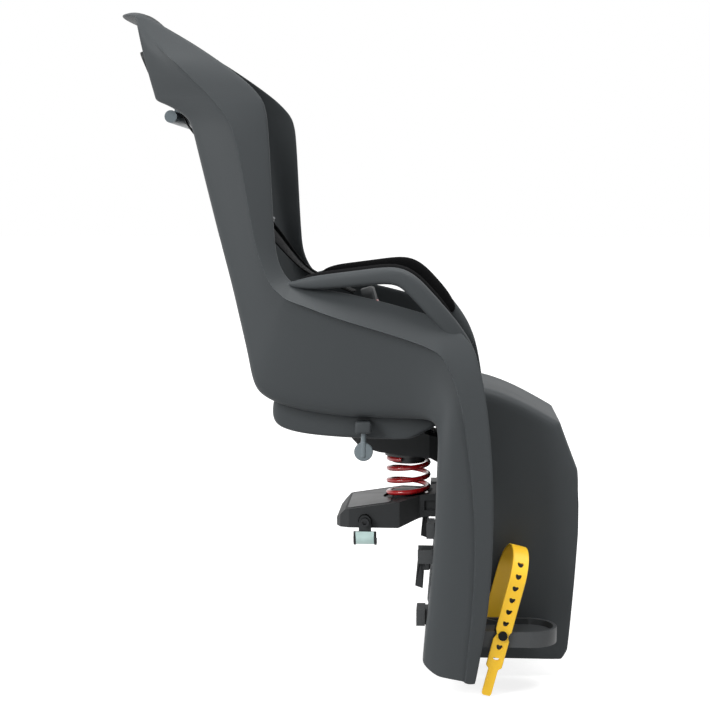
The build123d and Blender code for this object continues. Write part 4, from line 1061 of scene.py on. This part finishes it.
def strap_half(z):
    """Half width of the strap's outer run: drawn in at the stud, and narrow below the last hole."""
    neck = max(0.0, 1 - abs(z - STUD_Z) / NECK_REACH) ** 0.7
    half = STRAP_HALF - (STRAP_HALF - NECK_HALF) * neck
    tail = held((TAIL_Z - z) / TAIL_BLEND)
    end = held((z - STRAP_END) / TIP_REACH)
    return (half + (TAIL_HALF - half) * tail * tail * (3 - 2 * tail)) * (0.72 + 0.28 * sqrt(end))


def strap_spot(z):
    """Place and outward direction on the outer run, which turns into the arch above the rise."""
    turn = max(z - STRAP_RISE, 0.0) / STRAP_ARCH
    out = Vector((0, -cos(turn), sin(turn)))
    return Vector((0, 0, min(z, STRAP_RISE))) + out * STRAP_ARCH, out


def add_band(bm):
    """Band from its tail up, over the arch and down to its root."""
    top = STRAP_RISE + pi * STRAP_ARCH
    heights = [STRAP_END + RUN_STEP * step
               for step in range(int((STRAP_RISE - STRAP_END) / RUN_STEP) + 1)]
    heights += [STRAP_RISE + (top - STRAP_RISE) * step / ARCH_STEPS
                for step in range(1, ARCH_STEPS + 1)]
    loops = []
    for z in heights:
        spot, out = strap_spot(z)
        half = strap_half(z)
        loops.append([spot + out * (HALF_THICK * b) + Vector((half * a, 0, 0))
                      for a, b in BAND_SHAPE])
    for z in (STRAP_RISE / 2, STRAP_ROOT):
        loops.append([Vector((STRAP_HALF * a, STRAP_ARCH + HALF_THICK * b, z))
                      for a, b in BAND_SHAPE])
    add_tube(bm, loops)


def add_holes(bm):
    """Punches for the row of button holes; the one on the tail is small."""
    for row in HOLE_ROWS:
        spot, out = strap_spot(HOLE_STEP * row + STUD_Z)
        up = Vector((1, 0, 0)).cross(out) * -1
        squeeze = 0.5 if row == SMALL_ROW else 1.0
        rings = [[spot + out * depth + Vector((1, 0, 0)) * x + up * y * squeeze for x, y in HOLE]
                 for depth in (-HOLE_DEPTH, HOLE_DEPTH)]
        add_tube(bm, rings)


def build_foot_strap(side, word):
    """Band with its holes, turned and tilted on its footrest."""
    band = draw("strap_band", add_band)
    cut_out(band, draw("strap_holes", add_holes))
    bm = gather([band])
    turn = Matrix.Rotation(radians(STRAP_TURN), 4, "Z")
    stand = turn @ Matrix.Rotation(radians(STRAP_TILT), 4, "Y")
    stand = Matrix.Translation((STRAP_X, -FOOT_Y, FOOT_TOP)) @ stand
    bmesh.ops.transform(bm, matrix=Matrix.Diagonal((MM, MM, MM, 1)) @ stand, verts=bm.verts)
    if side > 0:
        bmesh.ops.scale(bm, vec=(1, -1, 1), verts=bm.verts)
        bmesh.ops.reverse_faces(bm, faces=bm.faces)
    new_piece("foot_band_" + word, bm, "foot_" + word, "strap_yellow", 35, "foot_strap_" + word)


for side, word in SIDES:
    build_foot_strap(side, word)

# Armrest pads: the part of the armrest that they line, half thickness, how far they stand inwards,
# up and past the armrest's half height, and the share of their size at both ends
PAD_LINE = ARMREST[1:11]
PAD_HALF, PAD_IN, PAD_UP, PAD_PAST, PAD_END = 4.2, 0.8, 1.6, 1.8, 0.55


def build_pads():
    """Soft pads along the inner side of both armrests, drawn in towards their ends."""
    line = []
    for number, ((x, y, z), high, wide) in enumerate(PAD_LINE):
        full = PAD_END if number in (0, len(PAD_LINE) - 1) else 1.0
        line.append(((x, y + wide + PAD_IN, z + PAD_UP), (high + PAD_PAST) * full, PAD_HALF * full))
    for side, word in SIDES:
        bm = bmesh.new()
        add_tube(bm, bar_loops(line, PAD_CUT))
        if side > 0:
            bmesh.ops.scale(bm, vec=(1, -1, 1), verts=bm.verts)
        outwards(bm)
        pad = new_piece("arm_pad_" + word, bm, "seat", "pad_rubber", 180, "armrest_pad_" + word)
        subdivide(pad)


build_pads()

# CAD nodes that keep their shape: rounded edges and their materials
EDGE_ROUND = {"carrier_housing": 2.0, "upper_arm": 1.5, "housing_cover": 0.6, "buckle": 0.8,
              "buckle_button": 0.5, "strap_anchor": 1.2, "reflector_frame": 1.0}
PAIR_ROUND = {"footrest": 1.0, "jaw_block": 0.5, "jaw_plate": 0.4, "footrest_latch": 1.2}
for name, size in PAIR_ROUND.items():
    EDGE_ROUND.update({f"{name}_{word}": size for side, word in SIDES})
BLACKENED = {"clamp_screw", "clamp_nut"}


def dress_node(node, slot):
    """Material of a CAD node, and its edges rounded where they are listed."""
    piece = NODES[node]
    piece.data.materials.clear()
    piece.data.materials.append(MATERIALS["blackened_steel" if node in BLACKENED else slot])
    if node in EDGE_ROUND:
        weld = piece.modifiers.new("weld", "WELD")
        weld.merge_threshold = 0.02 * MM
        edges = piece.modifiers.new("edges", "BEVEL")
        edges.width = EDGE_ROUND[node] * MM
        edges.segments = 2
        edges.limit_method = "ANGLE"
        edges.angle_limit = radians(28)


for entry in frame["record"]["subparts"]:
    dress_node(entry["node"], entry["material_slot"])

# Floor, background, light and camera
WHITE = (1, 1, 1, 1)
WORLD_LIGHT = 0.30
FLOOR_HALF, FLOOR_GAP = 40.0, 0.001
FLOOR_BOUNCE, FLOOR_PAINT = (0.3, 0.3, 0.3, 1), (0.42, 0.42, 0.42, 1)
# Glow of the floor under the object and past it, with the distances in metres
GLOW_NEAR, GLOW_FAR, NEAR, FAR = 0.80, 1.0, 0.5, 2.2
# Name, place and target in metres, size and power
LIGHTS = [
    ("overhead", (0.9, -0.6, 4.4), (0, 0, 0.25), (2.5, 2.5), 180),
    ("front_side", (1.6, -1.7, 0.9), (0, 0, 0.25), (1.2, 1.4), 6),
    ("rear_side", (-3.2, -3.0, 2.4), (0, 0, 0.3), (2.0, 2.6), 225),
]
CAMERA_SPOT, CAMERA_TARGET = place(108.9, -1837.8, 378.0), place(-16.4, 0, 207.1)


def floor_material():
    """Pale floor that looks white, also in reflections, and keeps the object's shadow."""
    material, tree, shader = new_material("floor", Roughness=0.9, Base_Color=FLOOR_BOUNCE)
    path = add(tree, "LightPath").outputs
    seen = maths(tree, "MAXIMUM", path["Is Camera Ray"], path["Is Glossy Ray"])
    seen = maths(tree, "MAXIMUM", seen, path["Is Transmission Ray"])
    where = add(tree, "TexCoord").outputs["Object"]
    away = add(tree, "VectorMath", [(0, where)], operation="LENGTH").outputs["Value"]
    strength = remap(tree, away, NEAR, FAR, GLOW_NEAR, GLOW_FAR, interpolation_type="SMOOTHSTEP")
    glow = add(tree, "Emission", [("Strength", strength)], Color=WHITE)
    paint = add(tree, "BsdfDiffuse", Color=FLOOR_PAINT)
    bright = add(tree, "AddShader", [(0, glow.outputs[0]), (1, paint.outputs[0])])
    mixed = add(tree, "MixShader", [(0, seen), (1, shader.outputs[0]), (2, bright.outputs[0])])
    connect(tree, tree.nodes["Material Output"], Surface=mixed.outputs[0])
    return material


def build_stage():
    """Floor under the object, and a world that looks white and lights gently."""
    bm = bmesh.new()
    level = Matrix.Translation((0, 0, CAD_BOX[0][2] - FLOOR_GAP))
    bmesh.ops.create_grid(bm, x_segments=1, y_segments=1, size=FLOOR_HALF, matrix=level)
    floor = new_object("floor", bm)
    floor.data.materials.append(floor_material())

    world = bpy.data.worlds.new("studio")
    bpy.context.scene.world = world
    world.use_nodes = True
    tree = world.node_tree
    path = add(tree, "LightPath").outputs
    seen = maths(tree, "MAXIMUM", path["Is Camera Ray"], path["Is Transmission Ray"])
    heading = add(tree, "SeparateXYZ", [(0, add(tree, "TexCoord").outputs["Generated"])])
    backdrop = remap(tree, heading.outputs[1], -0.3, 0.6, WORLD_LIGHT, 1.0,
                     interpolation_type="SMOOTHSTEP")
    lit = remap(tree, path["Is Glossy Ray"], 0.0, 1.0, WORLD_LIGHT, backdrop)
    ground = tree.nodes["Background"]
    ground.inputs["Color"].default_value = WHITE
    connect(tree, ground, Strength=remap(tree, seen, 0.0, 1.0, lit, 1.0))


def aim(item, spot, target):
    """Puts a light or the camera on a spot, facing a target."""
    item.location = spot
    item.rotation_euler = (Vector(target) - Vector(spot)).to_track_quat("-Z", "Y").to_euler()
    bpy.context.scene.collection.objects.link(item)


def add_light(name, spot, target, size, power):
    lamp = bpy.data.lights.new(name, "AREA")
    lamp.shape = "RECTANGLE"
    lamp.size, lamp.size_y = size
    lamp.energy = power
    aim(bpy.data.objects.new(name, lamp), spot, target)


def build_camera():
    lens = bpy.data.cameras.new("camera")
    lens.sensor_width = 36.0
    lens.lens = 74.9
    lens.clip_end = 50.0
    camera = bpy.data.objects.new("camera", lens)
    aim(camera, CAMERA_SPOT, CAMERA_TARGET)
    bpy.context.scene.camera = camera


build_stage()
for light in LIGHTS:
    add_light(*light)
build_camera()
bpy.context.scene.view_settings.view_transform = "Standard"
